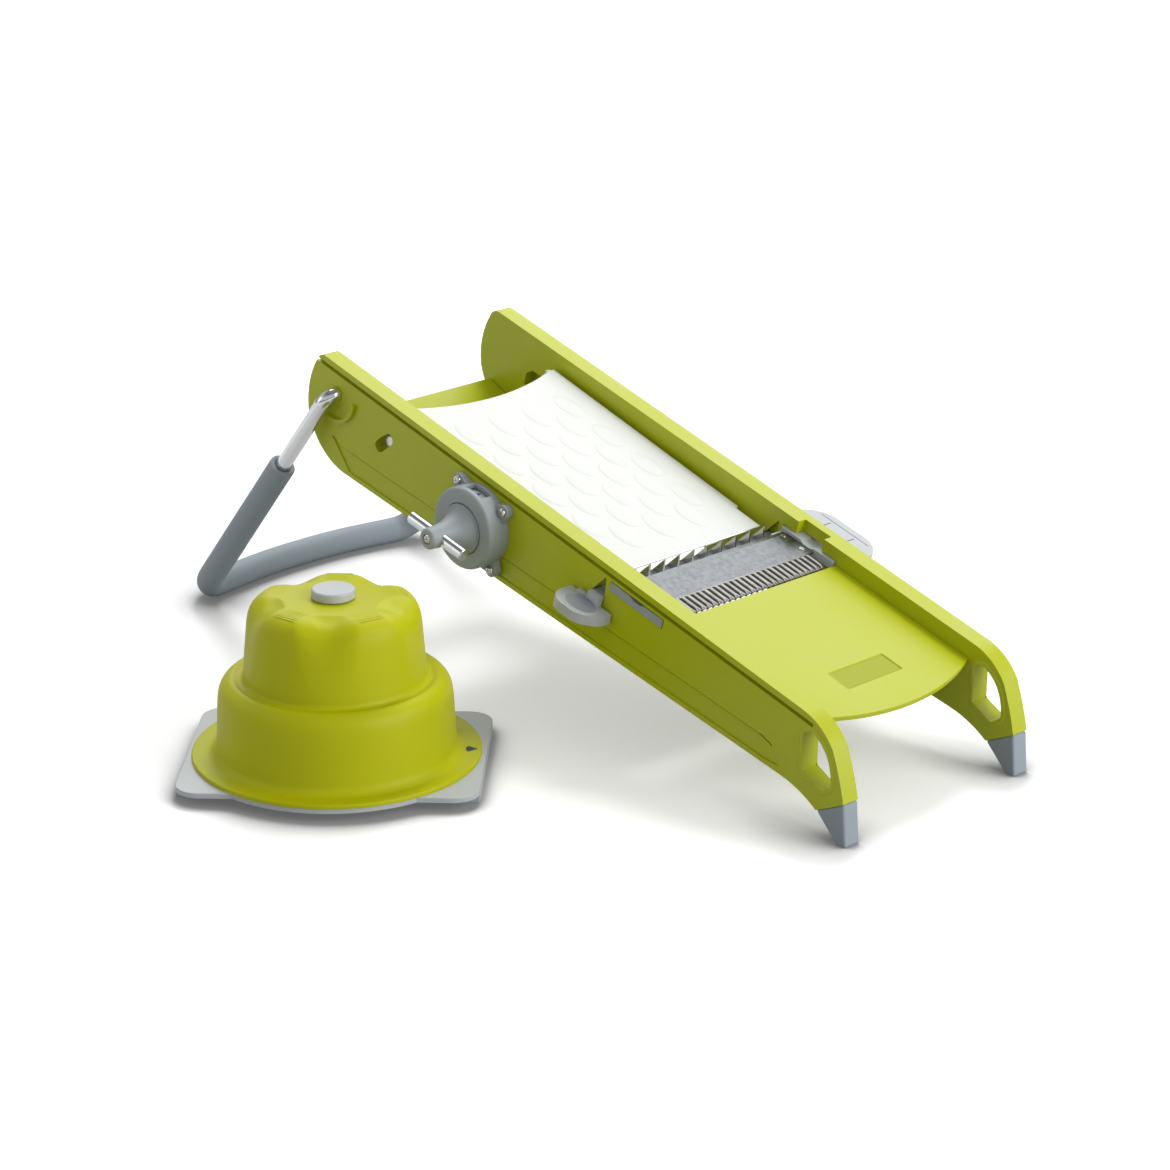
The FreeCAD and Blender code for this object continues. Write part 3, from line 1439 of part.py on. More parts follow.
def plunger():
    cap_low = crown_top + size.cap_rest
    cap_top = cap_low + size.cap_height
    disc_top = size.disc_bottom + size.disc_thick
    cap = new_body("plunger_cap")
    turned(cap, "cap", [
        (0, cap_low + size.cap_socket),
        (size.plunger_radius, cap_low + size.cap_socket),
        (size.plunger_radius, cap_low),
        (size.cap_radius, cap_low),
        (size.cap_radius, cap_top - size.cap_chamfer),
        (size.cap_radius - size.cap_chamfer, cap_top),
        (0, cap_top),
    ], role="XZ_Plane")
    keep(cap, "plunger_cap", BY_PUSHER)
    stem_length = cap_low + size.cap_socket - disc_top
    stem = cylinder("stem", size.plunger_radius, stem_length, (0, 0, disc_top), (0, 0, 1))
    keep(join("Compound", "plunger_rod", [stem]), "plunger_rod", BY_PUSHER)
    disc_radius = chamber_radius - size.disc_play
    plate = new_body("spike_disc")
    turned(plate, "plate", [
        (0, size.disc_bottom),
        (disc_radius, size.disc_bottom),
        (disc_radius, disc_top + size.disc_rim_height),
        (disc_radius - size.disc_rim_thick, disc_top + size.disc_rim_height),
        (disc_radius - size.disc_rim_thick, disc_top),
        (size.disc_hub_radius, disc_top),
        (size.disc_hub_radius, disc_top + size.disc_hub_height),
        (size.plunger_radius, disc_top + size.disc_hub_height),
        (size.plunger_radius, disc_top),
        (0, disc_top),
    ], role="XZ_Plane")
    keep(plate, "spike_disc", BY_PUSHER)
    spikes = []
    count = round(SIZES["spike_count"])
    for place in range(count):
        angle = Size(360.0 * place / count, repr(360.0 * place / count))
        start = (size.spike_circle * cosine(angle), size.spike_circle * sine(angle), size.disc_bottom)
        spikes.append(cone(f"spike_{place + 1}", size.spike_radius, size.spike_point, size.spike_length,
                           start, (0, 0, -1)))
    keep(join("Compound", "food_spikes", spikes), "food_spikes", BY_PUSHER)


for label, direction in SIDES:
    side_frame(label, direction)
    foot_tip(label, direction)
ramp()
rear_tie_bar()
slide_plate()
edge_strip()
plate_pins()
dial_housing()
housing_screws()
cam_disc()
dial_hub()
cutting_blade()
for label, direction in SIDES:
    carrier_block(label, direction)
keep(join("Compound", "blade_rivets", rivet_pins("rivet")), "blade_rivets", ON_RAIL)
julienne_comb()
rear_leg()
pusher_base()
dome_drum()
dome_crown()
retaining_ring()
plunger()
doc.recompute()

for item in doc.Objects:
    if "Invalid" in item.State or "Error" in item.State:
        raise RuntimeError(f"{item.Label} did not build")
for node in nodes:
    if node.Shape.isNull() or not node.Shape.isValid():
        raise RuntimeError(f"{node.Label} has no valid shape")
os.makedirs("parts", exist_ok=True)
for node in nodes:
    node.Shape.exportStep(f"parts/{node.Label}.step")
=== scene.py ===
"""Looks of the mandoline slicer and its food pusher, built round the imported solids."""

import logging
import math
from contextlib import contextmanager
from dataclasses import dataclass
from enum import Enum
from functools import partial
from typing import Any, Iterator, Sequence

import bmesh
import bpy
from bpy.types import Material, Mesh, Node, NodeSocket, NodeTree, Object
from mathutils import Matrix, Vector


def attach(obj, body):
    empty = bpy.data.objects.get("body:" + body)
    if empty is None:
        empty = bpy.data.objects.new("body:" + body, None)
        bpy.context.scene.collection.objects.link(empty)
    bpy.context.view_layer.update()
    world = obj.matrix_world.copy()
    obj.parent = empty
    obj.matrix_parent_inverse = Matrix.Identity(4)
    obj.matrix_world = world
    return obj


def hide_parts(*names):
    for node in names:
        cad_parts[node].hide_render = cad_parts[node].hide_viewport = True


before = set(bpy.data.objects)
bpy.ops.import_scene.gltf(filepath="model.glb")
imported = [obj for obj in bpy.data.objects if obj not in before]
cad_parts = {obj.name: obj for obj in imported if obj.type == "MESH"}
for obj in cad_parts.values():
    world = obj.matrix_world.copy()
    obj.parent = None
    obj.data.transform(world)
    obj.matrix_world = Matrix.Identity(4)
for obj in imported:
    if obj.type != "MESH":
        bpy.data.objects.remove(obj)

LOG = logging.getLogger("mandoline")
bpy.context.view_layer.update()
MM = 0.001
Pair = tuple[float, float]
Three = tuple[float, float, float]
Four = tuple[float, float, float, float]
Point = Three
Outline = tuple[Pair, ...]

# Points nearer than this are one: in shapes made here, and in copies of solids
SHAPE_WELD_MM = 0.004
SOLID_WELD_MM = 0.005

# Degrees between faces: those that count as flat, are rounded, or stay crisp
FLAT_ANGLE = 0.6
ROUNDED_ANGLE = 32.0
CRISP_ANGLE = 35.0
SHELL_CRISP_ANGLE = 40.0

# Slope of the rails in degrees, and the dial's axis along and above them in millimetres
RAIL_SLOPE = 16.0
DIAL_AXIS = (129.0, -26.5)


class Body(str, Enum):
    """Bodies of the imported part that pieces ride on."""

    FRAME = "frame"
    PLATE = "slide_plate"
    DIAL = "thickness_dial"
    CASSETTE = "blade_cassette"
    COMB = "julienne_comb"
    LEG = "rear_leg"
    BASE = "pusher_base"
    DOME = "pusher_dome"
    PLUNGER = "plunger"


class Side(Enum):
    """Sides of the slicer, with the sign of Y on each."""

    LEFT = -1
    RIGHT = 1


def placing(origin_mm: Point, turn: float, axis: str) -> Matrix:
    """Give the matrix from a sub-assembly's own millimetres to row metres."""
    turned = Matrix.Rotation(math.radians(turn), 4, axis)
    return Matrix.Translation(Vector(origin_mm) * MM) @ turned @ Matrix.Scale(MM, 4)


ROW = Matrix.Scale(MM, 4)
RAILS = placing((-124.72, 83.1, 156.9), RAIL_SLOPE, "Y")
PUSHER = placing((3.38, -86.3, 0.0), 43.6, "Z")


def grey(share: float) -> Four:
    """Give a linear grey with full alpha."""
    return (share, share, share, 1.0)


def linear(hex_colour: str) -> Four:
    """Turn an sRGB hex colour with a leading hash to linear, with full alpha."""
    channels = [int(hex_colour[start:start + 2], 16) / 255 for start in (1, 3, 5)]
    return (*[c / 12.92 if c <= 0.04045 else ((c + 0.055) / 1.055) ** 2.4 for c in channels], 1.0)


def spans(ends: Pair, to: Pair = (0.0, 1.0)) -> dict[str, float]:
    """Give the ends of two ranges, as the inputs that map the first to the second."""
    return dict(zip(("From Min", "From Max", "To Min", "To Max"), (*ends, *to)))


def wire(tree: NodeTree, node: Node, inputs: dict) -> None:
    """Link or set some inputs of a node.

    Args:
        tree: tree of the node.
        node: the node.
        inputs: values, sockets, or nodes for their first output, by name or index.
    """
    for key, value in inputs.items():
        if isinstance(value, Node):
            value = value.outputs[0]
        if isinstance(value, NodeSocket):
            tree.links.new(value, node.inputs[key])
        else:
            node.inputs[key].default_value = value


def add_node(tree: NodeTree, kind: str, inputs: dict | None = None, **settings: Any) -> Node:
    """Add one node with its settings and links.

    Args:
        tree: tree of a material or of geometry.
        kind: Blender's type name of the node.
        inputs: what its inputs get, as in wire.
        settings: attributes of the node.

    Returns:
        The new node.
    """
    node = tree.nodes.new(kind)
    for name, value in settings.items():
        setattr(node, name, value)
    wire(tree, node, inputs or {})
    return node


# Finishes

@dataclass(frozen=True)
class Finish:
    """A surface of the real object: soft patches of tint and gloss over a fine grain."""

    name: str
    slot: str
    colour: str
    roughness: float
    deep_colour: str
    metallic: float = 0.0
    ior: float = 1.5
    patch_mm: float = 42.0
    patch_noise: Pair = (4.0, 0.55)
    tint_ends: Pair = (0.0, 1.0)
    gloss_ends: Pair = (0.3, 0.7)
    gloss_swing: Pair = (-0.05, 0.05)
    # Grain along and across its way. Real grain and grinding lines are some hundredths of a
    # millimetre wide, too fine to show, so they are drawn as coarse as they need to show
    grain_mm: Pair = (0.9, 0.9)
    grain_turn: float = 0.0
    grain_noise: Pair = (3.0, 0.6)
    grain_depth_mm: float = 0.012
    grain_strength: float = 0.6

    def material(self) -> Material:
        """Give the finish's material, made once.

        Returns:
            The material.
        """
        found = bpy.data.materials.get(self.name)
        if found is not None:
            return found
        material = bpy.data.materials.new(self.name)
        material.use_nodes = True
        tree = material.node_tree
        add = partial(add_node, tree)
        place = add("ShaderNodeTexCoord").outputs["Object"]
        patch = add("ShaderNodeTexNoise", {
            "Vector": place, "Scale": 1 / (self.patch_mm * MM),
            "Detail": self.patch_noise[0], "Roughness": self.patch_noise[1]})
        share = add("ShaderNodeMapRange", {"Value": patch, **spans(self.tint_ends)})
        tint = add("ShaderNodeMix", {
            0: share, 6: linear(self.deep_colour), 7: linear(self.colour)}, data_type="RGBA")
        dull = tuple(self.roughness + swing for swing in self.gloss_swing)
        gloss = add("ShaderNodeMapRange", {"Value": patch, **spans(self.gloss_ends, dull)})
        look = {"Base Color": tint.outputs[2], "Roughness": gloss, "Metallic": self.metallic,
                "IOR": self.ior}
        if self.grain_depth_mm:
            along, across = [1 / (size * MM) for size in self.grain_mm]
            level = add("ShaderNodeMapping", {
                "Vector": place, "Rotation": (0.0, math.radians(-self.grain_turn), 0.0),
                "Scale": (along, across, across)})
            grain = add("ShaderNodeTexNoise", {
                "Vector": level, "Scale": 1.0,
                "Detail": self.grain_noise[0], "Roughness": self.grain_noise[1]})
            look["Normal"] = add("ShaderNodeBump", {
                "Height": grain, "Distance": self.grain_depth_mm * MM,
                "Strength": self.grain_strength})
        wire(tree, tree.nodes["Principled BSDF"], look)
        return material


@dataclass(frozen=True)
class MouldedPlastic(Finish):
    """Injection-moulded plastic: a fine spark-eroded grain and slow clouding of gloss and tint."""

    ior: float = 1.49


@dataclass(frozen=True)
class GroundSteel(Finish):
    """Cold-rolled stainless sheet, ground along the rails, with faint mottling from the rolls."""

    metallic: float = 1.0
    patch_mm: float = 5.0
    patch_noise: Pair = (5.0, 0.65)
    tint_ends: Pair = (0.38, 0.62)
    gloss_swing: Pair = (-0.06, 0.08)
    grain_mm: Pair = (14.0, 0.45)
    grain_turn: float = RAIL_SLOPE
    grain_depth_mm: float = 0.004
    grain_strength: float = 0.5


@dataclass(frozen=True)
class PolishedSteel(Finish):
    """Drawn and polished stainless bar: mirror-like, dulled here and there by smudges."""

    metallic: float = 1.0
    patch_mm: float = 7.0
    patch_noise: Pair = (4.0, 0.6)
    gloss_ends: Pair = (0.35, 0.7)
    gloss_swing: Pair = (-0.03, 0.07)
    grain_depth_mm: float = 0.0


# Moulded lime polypropylene: one strong green under a soft, waxy sheen
GREEN = MouldedPlastic("lime_polypropylene", "green_plastic", "#B8C008", 0.40, "#B1B904")
# The same off a finely blasted tool: hardly any sheen, so the dome keeps its full colour
SATIN = MouldedPlastic("lime_polypropylene_satin", "green_plastic", "#BDBF00", 0.46, "#B6B800",
                       ior=1.32)
# The same off a pebbled tool: dull and speckled, so the sunk panel stands out from the ramp
PEBBLED = MouldedPlastic("lime_polypropylene_pebbled", "green_plastic", "#A9B104", 0.60, "#9DA503",
                         grain_mm=(0.8, 0.8), grain_depth_mm=0.12)
# Moulded polypropylene in a cool grey and a paler one: soft highlights along rounded edges
GREY = MouldedPlastic("blue_grey_polypropylene", "grey_plastic", "#A1A8AB", 0.42, "#9AA2A5")
# On the comb's tab the paler grey is painted light: a lit copy of the comb's grey
PALE = MouldedPlastic("pale_grey_polypropylene", "grey_plastic", "#BCC1C4", 0.42, "#B6BBBE")
# Moulded soft-touch rubber: dry, with one wide and dim highlight
RUBBER = MouldedPlastic("grey_soft_touch_rubber", "grey_rubber", "#98A3AB", 0.60, "#909BA4",
                        grain_mm=(0.7, 0.7), grain_depth_mm=0.02)
# Moulded ABS: clean white, shiny enough to draw the plate's ovals as faint lines
WHITE = MouldedPlastic("white_abs", "white_plastic", "#E1E3DF", 0.36, "#DDDFDB")
# Moulded acrylic gone milky: pale and quiet
MILKY = MouldedPlastic("clouded_acrylic", "clear_grey", "#C6CDD0", 0.40, "#BFC6CA")
# Flat and dark: printed ink on the digits, and painted shade in the tab's grooves and the flange's
# arrow hole
DARK = MouldedPlastic("dark_ink", "grey_plastic", "#2C3136", 0.55, "#262B30")
# Rolled stainless sheet, mottled by the rolls; its mid grey is painted shade dimming the softbox it
# mirrors
SHEET = GroundSteel("mottled_stainless_sheet", "steel", "#787B7E", 0.32, "#606467", patch_mm=3.2)
# Freshly ground stainless: bright, with a silky streak
EDGE = GroundSteel("ground_stainless_edge", "steel", "#DCDBD7", 0.20, "#C6C5C1")
# Pressed and ground stainless: darker folds with bright crests, its grey deepened as painted shade
# dimming the mirrored softbox
FOLDED = GroundSteel("folded_stainless_edge", "steel", "#8E8D88", 0.18, "#787772")
# Polished stainless bar: a mirror of the studio in long bands
BRIGHT = PolishedSteel("polished_stainless_bar", "bright_steel", "#D8D9DA", 0.13, "#D8D9DA")


# Making and dressing meshes

def new_object(name: str, data: bpy.types.ID) -> Object:
    """Put a mesh, text, lamp or camera in the scene.

    Args:
        name: name of the object.
        data: what it shows.

    Returns:
        The object, at the origin.
    """
    piece = bpy.data.objects.new(name, data)
    bpy.context.scene.collection.objects.link(piece)
    return piece


@contextmanager
def editing(mesh: Mesh) -> Iterator[bmesh.types.BMesh]:
    """Open a mesh for editing and write it back.

    Args:
        mesh: mesh that is changed.

    Yields:
        Its open form.
    """
    work = bmesh.new()
    work.from_mesh(mesh)
    yield work
    work.to_mesh(mesh)
    work.free()


def plain_mesh(piece: Object) -> Mesh:
    """Give the mesh of an object with its modifiers applied."""
    made = piece.evaluated_get(bpy.context.evaluated_depsgraph_get())
    return bpy.data.meshes.new_from_object(made)


def smooth(mesh: Mesh, angle: float = CRISP_ANGLE) -> None:
    """Shade a mesh smooth, with edges sharper than an angle kept crisp."""
    mesh.polygons.foreach_set("use_smooth", [True] * len(mesh.polygons))
    mesh.set_sharp_from_angle(angle=math.radians(angle))


def shape(name: str, points: Sequence, faces: Sequence = (), place: Matrix = Matrix.Identity(4),
          crisp: float | None = None) -> Object:
    """Make an object from points in a sub-assembly's own millimetres.

    Args:
        name: name of the object.
        points: corner coordinates.
        faces: corner numbers of each face, none for bare points.
        place: matrix that takes the points to row metres.
        crisp: angle of the edges that stay crisp when it is shaded smooth, else it is not.

    Returns:
        The object, with its faces turned outwards.
    """
    mesh = bpy.data.meshes.new(name)
    mesh.from_pydata([place @ Vector(point) for point in points], [], faces)
    with editing(mesh) as work:
        bmesh.ops.remove_doubles(work, verts=work.verts, dist=SHAPE_WELD_MM * MM)
        bmesh.ops.recalc_face_normals(work, faces=work.faces)
    if crisp is not None:
        smooth(mesh, crisp)
    return new_object(name, mesh)


def settle(piece: Object, body: Body, finish: Finish, *replaced: str) -> None:
    """Give a piece its finish and body, and hide the solids that it stands for.

    Args:
        piece: the finished piece.
        body: body that it rides on.
        finish: its finish.
        replaced: solids that it stands for.
    """
    piece.data.materials.clear()
    piece.data.materials.append(finish.material())
    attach(piece, body.value)
    for node in replaced:
        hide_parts(node)
    LOG.info("%s rides on %s", piece.name, body.value)


def copied(node: str) -> Object:
    """Copy a solid, with its loose triangles joined into whole faces.

    Args:
        node: name of the solid.

    Returns:
        The copy.
    """
    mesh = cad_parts[node].data.copy()
    with editing(mesh) as work:
        bmesh.ops.remove_doubles(work, verts=work.verts, dist=SOLID_WELD_MM * MM)
        bmesh.ops.dissolve_limit(work, angle_limit=math.radians(FLAT_ANGLE),
                                 verts=work.verts, edges=work.edges)
    mesh.materials.clear()
    return new_object(f"{node}_dressed", mesh)


def dress(node: str, body: Body, finish: Finish, edge_mm: float, segments: int = 2,
          piece: Object | None = None) -> None:
    """Stand in for a solid with a copy whose edges are rounded as a mould does.

    Args:
        node: name of the solid.
        body: body that it belongs to.
        finish: its finish.
        edge_mm: radius of the rounded edges, 0 for none.
        segments: steps across a rounded edge.
        piece: a copy that has been worked on, else a new one is made.
    """
    if piece is None:
        piece = copied(node)
    smooth(piece.data)
    if edge_mm:
        bevel = piece.modifiers.new("moulded_edges", "BEVEL")
        bevel.width = edge_mm * MM
        bevel.segments = segments
        bevel.limit_method = "ANGLE"
        bevel.angle_limit = math.radians(ROUNDED_ANGLE)
        bevel.miter_outer = "MITER_ARC"
        normals = piece.modifiers.new("even_normals", "WEIGHTED_NORMAL")
        normals.keep_sharp = True
    settle(piece, body, finish, node)


def carve(piece: Object, cutter: Object) -> None:
    """Cut one shape out of a piece and do away with the cutter.

    Args:
        piece: piece that loses the shape.
        cutter: closed shape to cut out.
    """
    cut = piece.modifiers.new("carve", "BOOLEAN")
    cut.object = cutter
    cut.operation = "DIFFERENCE"
    mesh = plain_mesh(piece)
    piece.modifiers.remove(cut)
    piece.data = mesh
    bpy.data.objects.remove(cutter)


def flowing(points: Outline, steps: int) -> Outline:
    """Put more points on an outline so that it bends evenly.

    Args:
        points: outline of radius and height.
        steps: new points from each given one to the next.

    Returns:
        The finer outline, through all the given points.
    """
    finer = []
    last = len(points) - 1
    for place in range(last):
        four = [Vector(points[min(max(place + k, 0), last)]) for k in (-1, 0, 1, 2)]
        for step in range(steps):
            t = step / steps
            bend = four[1] * 2 + (four[2] - four[0]) * t
            bend += (four[0] * 2 - four[1] * 5 + four[2] * 4 - four[3]) * t * t
            bend += (four[1] * 3 - four[0] - four[2] * 3 + four[3]) * t ** 3
            finer.append((bend.x / 2, bend.y / 2))
    return (*finer, points[last])


def turns(steps: int) -> list[float]:
    """Give the angles of even steps round a circle."""
    return [2 * math.pi * step / steps for step in range(steps)]


def ring_faces(rings: int, around: int, closed: bool = False) -> list[tuple[int, ...]]:
    """Give the faces that join rings of points.

    Args:
        rings: number of rings.
        around: points in each.
        closed: whether the last ring joins the first; if not, both ends are capped.

    Returns:
        Corner numbers of each face.
    """
    faces = []
    for ring in range(rings if closed else rings - 1):
        here, there = ring * around, (ring + 1) % rings * around
        for step in range(around):
            beside = (step + 1) % around
            faces.append((here + step, here + beside, there + beside, there + step))
    if not closed:
        last = (rings - 1) * around
        faces += [tuple(range(around)), tuple(range(last, last + around))]
    return faces


def turned_shell(name: str, rings: Sequence[Sequence[Point]], place: Matrix) -> Object:
    """Close rings of points, the last one beside the first, into one smooth shell."""
    faces = ring_faces(len(rings), len(rings[0]), closed=True)
    return shape(name, [spot for ring in rings for spot in ring], faces, place, SHELL_CRISP_ANGLE)


def prism(outline: Sequence, levels: Sequence[float], across: bool = False) -> tuple[list, list]:
    """Give points and faces of an outline drawn out between two levels, upwards or across."""
    points = [(u, level, v) if across else (u, v, level) for level in levels for u, v in outline]
    return points, ring_faces(2, len(outline))


def slab(low: Point, high: Point) -> tuple[list, list]:
    """Give the corners and faces of a box between its lowest and its highest corner."""
    (back, left, bottom), (front, right, top) = low, high
    return prism(((back, left), (front, left), (front, right), (back, right)), (bottom, top))


# Geometry node trees for what repeats

class RepeatTree:
    """A geometry node tree with named sizes, applied once to a plain object."""

    def __init__(self, name: str, sizes: dict[str, float]) -> None:
        """Start the tree.

        Args:
            name: name of the tree.
            sizes: names and values of its inputs.
        """
        self.tree = bpy.data.node_groups.new(name, "GeometryNodeTree")
        self.add = partial(add_node, self.tree)
        sockets = self.tree.interface
        self.values = {}
        for size, value in sizes.items():
            socket = sockets.new_socket(size, in_out="INPUT", socket_type="NodeSocketFloat")
            self.values[socket.identifier] = value
        sockets.new_socket("Geometry", in_out="OUTPUT", socket_type="NodeSocketGeometry")
        self.sizes = self.add("NodeGroupInput").outputs

    def stretched(self, unit: Node | NodeSocket, sizes: Sequence[str]) -> Node:
        """Stretch a unit shape by three of the tree's sizes, along X, Y and Z."""
        stretch = self.add("ShaderNodeCombineXYZ", {
            axis: self.sizes[size] for axis, size in zip("XYZ", sizes)})
        return self.add("GeometryNodeTransform", {"Geometry": unit, "Scale": stretch})

    def piece(self, name: str, instances: Node, finish: Finish, place: Matrix,
              helpers: Sequence[Object] = ()) -> Object:
        """Finish the tree and turn it to a plain mesh.

        Args:
            name: name of the new piece.
            instances: node that gives the repeated shapes.
            finish: finish of the piece.
            place: matrix from the tree's millimetres to row metres.
            helpers: objects that the tree reads, done away with afterwards.

        Returns:
            An object with the plain mesh.
        """
        real = self.add("GeometryNodeRealizeInstances", {"Geometry": instances})
        dressed = self.add("GeometryNodeSetMaterial", {
            "Geometry": real, "Material": finish.material()})
        self.add("NodeGroupOutput", {"Geometry": dressed})
        holder = shape(f"{name}_maker", ())
        modifier = holder.modifiers.new("repeat", "NODES")
        modifier.node_group = self.tree
        for identifier, value in self.values.items():
            modifier[identifier] = value
        mesh = plain_mesh(holder)
        for helper in (holder, *helpers):
            bpy.data.objects.remove(helper)
        mesh.transform(place)
        smooth(mesh, SHELL_CRISP_ANGLE)
        return new_object(name, mesh)


# Sub-assemblies

@dataclass
class SlicerFrame:
    """Side frames, feet, ramp and rear tie bar."""

    leaf_line: Outline = ((14.5, -38.9), (27.0, -41.0), (328.0, -26.4), (337.0, -28.0))
    leaf_line_mm: float = 0.9
    leaf_line_sink_mm: float = 1.5
    cutter_room_mm: float = 1.0
    wall_face_mm: float = 65.0
    wall_thick_mm: float = 10.0
    window: Outline = (
        (352.6, -10.0), (357.6, -28.8), (371.4, -32.0), (375.8, -26.5), (374.1, -21.2),
        (371.7, -16.6), (368.4, -12.6), (363.8, -9.3), (358.2, -7.2))
    rim_round_mm: float = 1.8
    rim_steps: int = 6
    rim_shape: Outline = (
        (-0.1, -0.3), (-0.1, 0.2), (0.15, 0.42), (0.6, 0.5), (1.3, 0.5), (1.8, 0.4), (2.3, 0.12),
        (2.4, -0.3))
    ramp_top_mm: float = -8.8
    panel: Four = (325.0, -20.5, 339.0, 17.3)
    panel_sink_mm: float = 0.6
    panel_floor_inset_mm: float = 0.4
    panel_floor_span_mm: Pair = (-0.2, 0.12)

    def build(self) -> None:
        """Dress every piece of the frame."""
        for side in Side:
            self.side(side)
            self.window_rims(side)
            dress(f"{side.name.lower()}_foot_tip", Body.FRAME, RUBBER, edge_mm=1.2, segments=4)
        dress("rear_tie_bar", Body.FRAME, GREEN, edge_mm=1.2, segments=3)
        self.ramp()

    def side(self, side: Side) -> None:
        """Side frame with the sharp line along the top of its sunk leaf.

        Args:
            side: left or right.
        """
        depths = (-self.leaf_line_sink_mm, self.cutter_room_mm)
        levels = sorted(side.value * (self.wall_face_mm + depth) for depth in depths)
        lower = [(along, height - self.leaf_line_mm) for along, height in reversed(self.leaf_line)]
        line = prism([*self.leaf_line, *lower], levels, across=True)
        node = f"{side.name.lower()}_side_frame"
        piece = copied(node)
        carve(piece, shape("leaf_line", *line, RAILS))
        dress(node, Body.FRAME, GREEN, edge_mm=0.4, segments=3, piece=piece)

    def window_rims(self, side: Side) -> None:
        """Soft raised rims round the leg's window, on both faces of the leg.

        Args:
            side: left or right.
        """
        corners = [Vector(point) for point in self.window]
        outline = []
        for place, corner in enumerate(corners):
            neighbours = corners[place - 1], corners[(place + 1) % len(corners)]
            before, after = [(other - corner).normalized() * self.rim_round_mm
                             for other in neighbours]
            for step in range(self.rim_steps + 1):
                t = step / self.rim_steps
                outline.append(corner + before * (1 - t) ** 2 + after * t * t)
        # The window's corners run anticlockwise, so outwards is to the right of the way on
        ways = [outline[(k + 1) % len(outline)] - outline[k - 1] for k in range(len(outline))]
        outwards = [Vector((way.y, -way.x)).normalized() for way in ways]
        inner_mm = self.wall_face_mm - self.wall_thick_mm
        for face, level, proud in (("outer", self.wall_face_mm, 1), ("inner", inner_mm, -1)):
            rings = []
            for wide, rise in self.rim_shape:
                spots = [point + way * wide for point, way in zip(outline, outwards)]
                y = side.value * (level + proud * rise)
                rings.append([(spot.x, y, spot.y) for spot in spots])
            name = f"{side.name.lower()}_window_rim_{face}"
            settle(turned_shell(name, rings, RAILS), Body.FRAME, GREEN)

    def ramp(self) -> None:
        """Ramp with a shallow sunk panel near its front edge, left bare."""
        piece = copied("ramp")
        back, left, front, right = self.panel
        low = self.ramp_top_mm - self.panel_sink_mm
        panel = slab((back, left, low), (front, right, 0.0))
        carve(piece, shape("panel_cutter", *panel, RAILS))
        dress("ramp", Body.FRAME, GREEN, edge_mm=0.35, piece=piece)
        inset = self.panel_floor_inset_mm
        below, above = self.panel_floor_span_mm
        floor = slab((back + inset, left + inset, low + below),
                     (front - inset, right - inset, low + above))
        settle(shape("ramp_panel_floor", *floor, RAILS), Body.FRAME, PEBBLED)


@dataclass
class SlidePlate:
    """White plate with rows of low oval pillows, and its steel pins."""

    first_mm: float = 82.2
    pitch_mm: float = 30.0
    row_pitch_mm: float = 11.4
    rows: int = 7
    columns: int = 4
    length_mm: float = 23.0
    width_mm: float = 12.0
    rise_mm: float = 0.36
    back: Pair = (49.5, -8.0)
    front: Pair = (210.0, -12.0)

    def build(self) -> None:
        """Dress the plate and add its pillows."""
        dress("slide_plate", Body.PLATE, WHITE, edge_mm=0.4)
        dress("plate_edge_strip", Body.PLATE, EDGE, edge_mm=0.1)
        for node in ("rear_guide_pins", "cam_follower_pin", "front_guide_pin"):
            dress(node, Body.PLATE, EDGE, edge_mm=0.3)
        self.pillows()

    def pillows(self) -> None:
        """Rows of low ovals on the plate, every other row half a step on."""
        tree = RepeatTree("plate_pillows", {
            "Pitch": self.pitch_mm, "Row Pitch": self.row_pitch_mm * 2,
            "Length": self.length_mm / 2, "Width": self.width_mm / 2, "Rise": self.rise_mm})
        ball = tree.add("GeometryNodeMeshUVSphere", {"Segments": 40, "Rings": 16, "Radius": 1.0})
        oval = tree.stretched(ball, ("Length", "Width", "Rise"))
        joined = tree.add("GeometryNodeJoinGeometry")
        for start, rows in ((0.0, (self.rows + 1) // 2), (0.5, self.rows // 2)):
            counts = (("Pitch", self.columns - 1), ("Row Pitch", rows - 1), ("Pitch", start))
            long, wide, shift = [
                tree.add("ShaderNodeMath", {0: tree.sizes[size], 1: float(count)},
                         operation="MULTIPLY") for size, count in counts]
            grid = tree.add("GeometryNodeMeshGrid", {
                "Size X": long, "Size Y": wide, "Vertices X": self.columns, "Vertices Y": rows})
            offset = tree.add("ShaderNodeCombineXYZ", {"X": shift})
            moved = tree.add("GeometryNodeSetPosition", {"Geometry": grid, "Offset": offset})
            ovals = tree.add("GeometryNodeInstanceOnPoints", {"Points": moved, "Instance": oval})
            wire(tree.tree, joined, {"Geometry": ovals})
        fall = (self.front[1] - self.back[1]) / (self.front[0] - self.back[0])
        middle = self.first_mm + self.pitch_mm * (self.columns - 1) / 2
        height = self.back[1] + (middle - self.back[0]) * fall
        tilt = Matrix.Rotation(-math.atan(fall), 4, "Y")
        place = RAILS @ Matrix.Translation((middle, 0.0, height)) @ tilt
        settle(tree.piece("plate_pillows", joined, WHITE, place), Body.PLATE, WHITE)


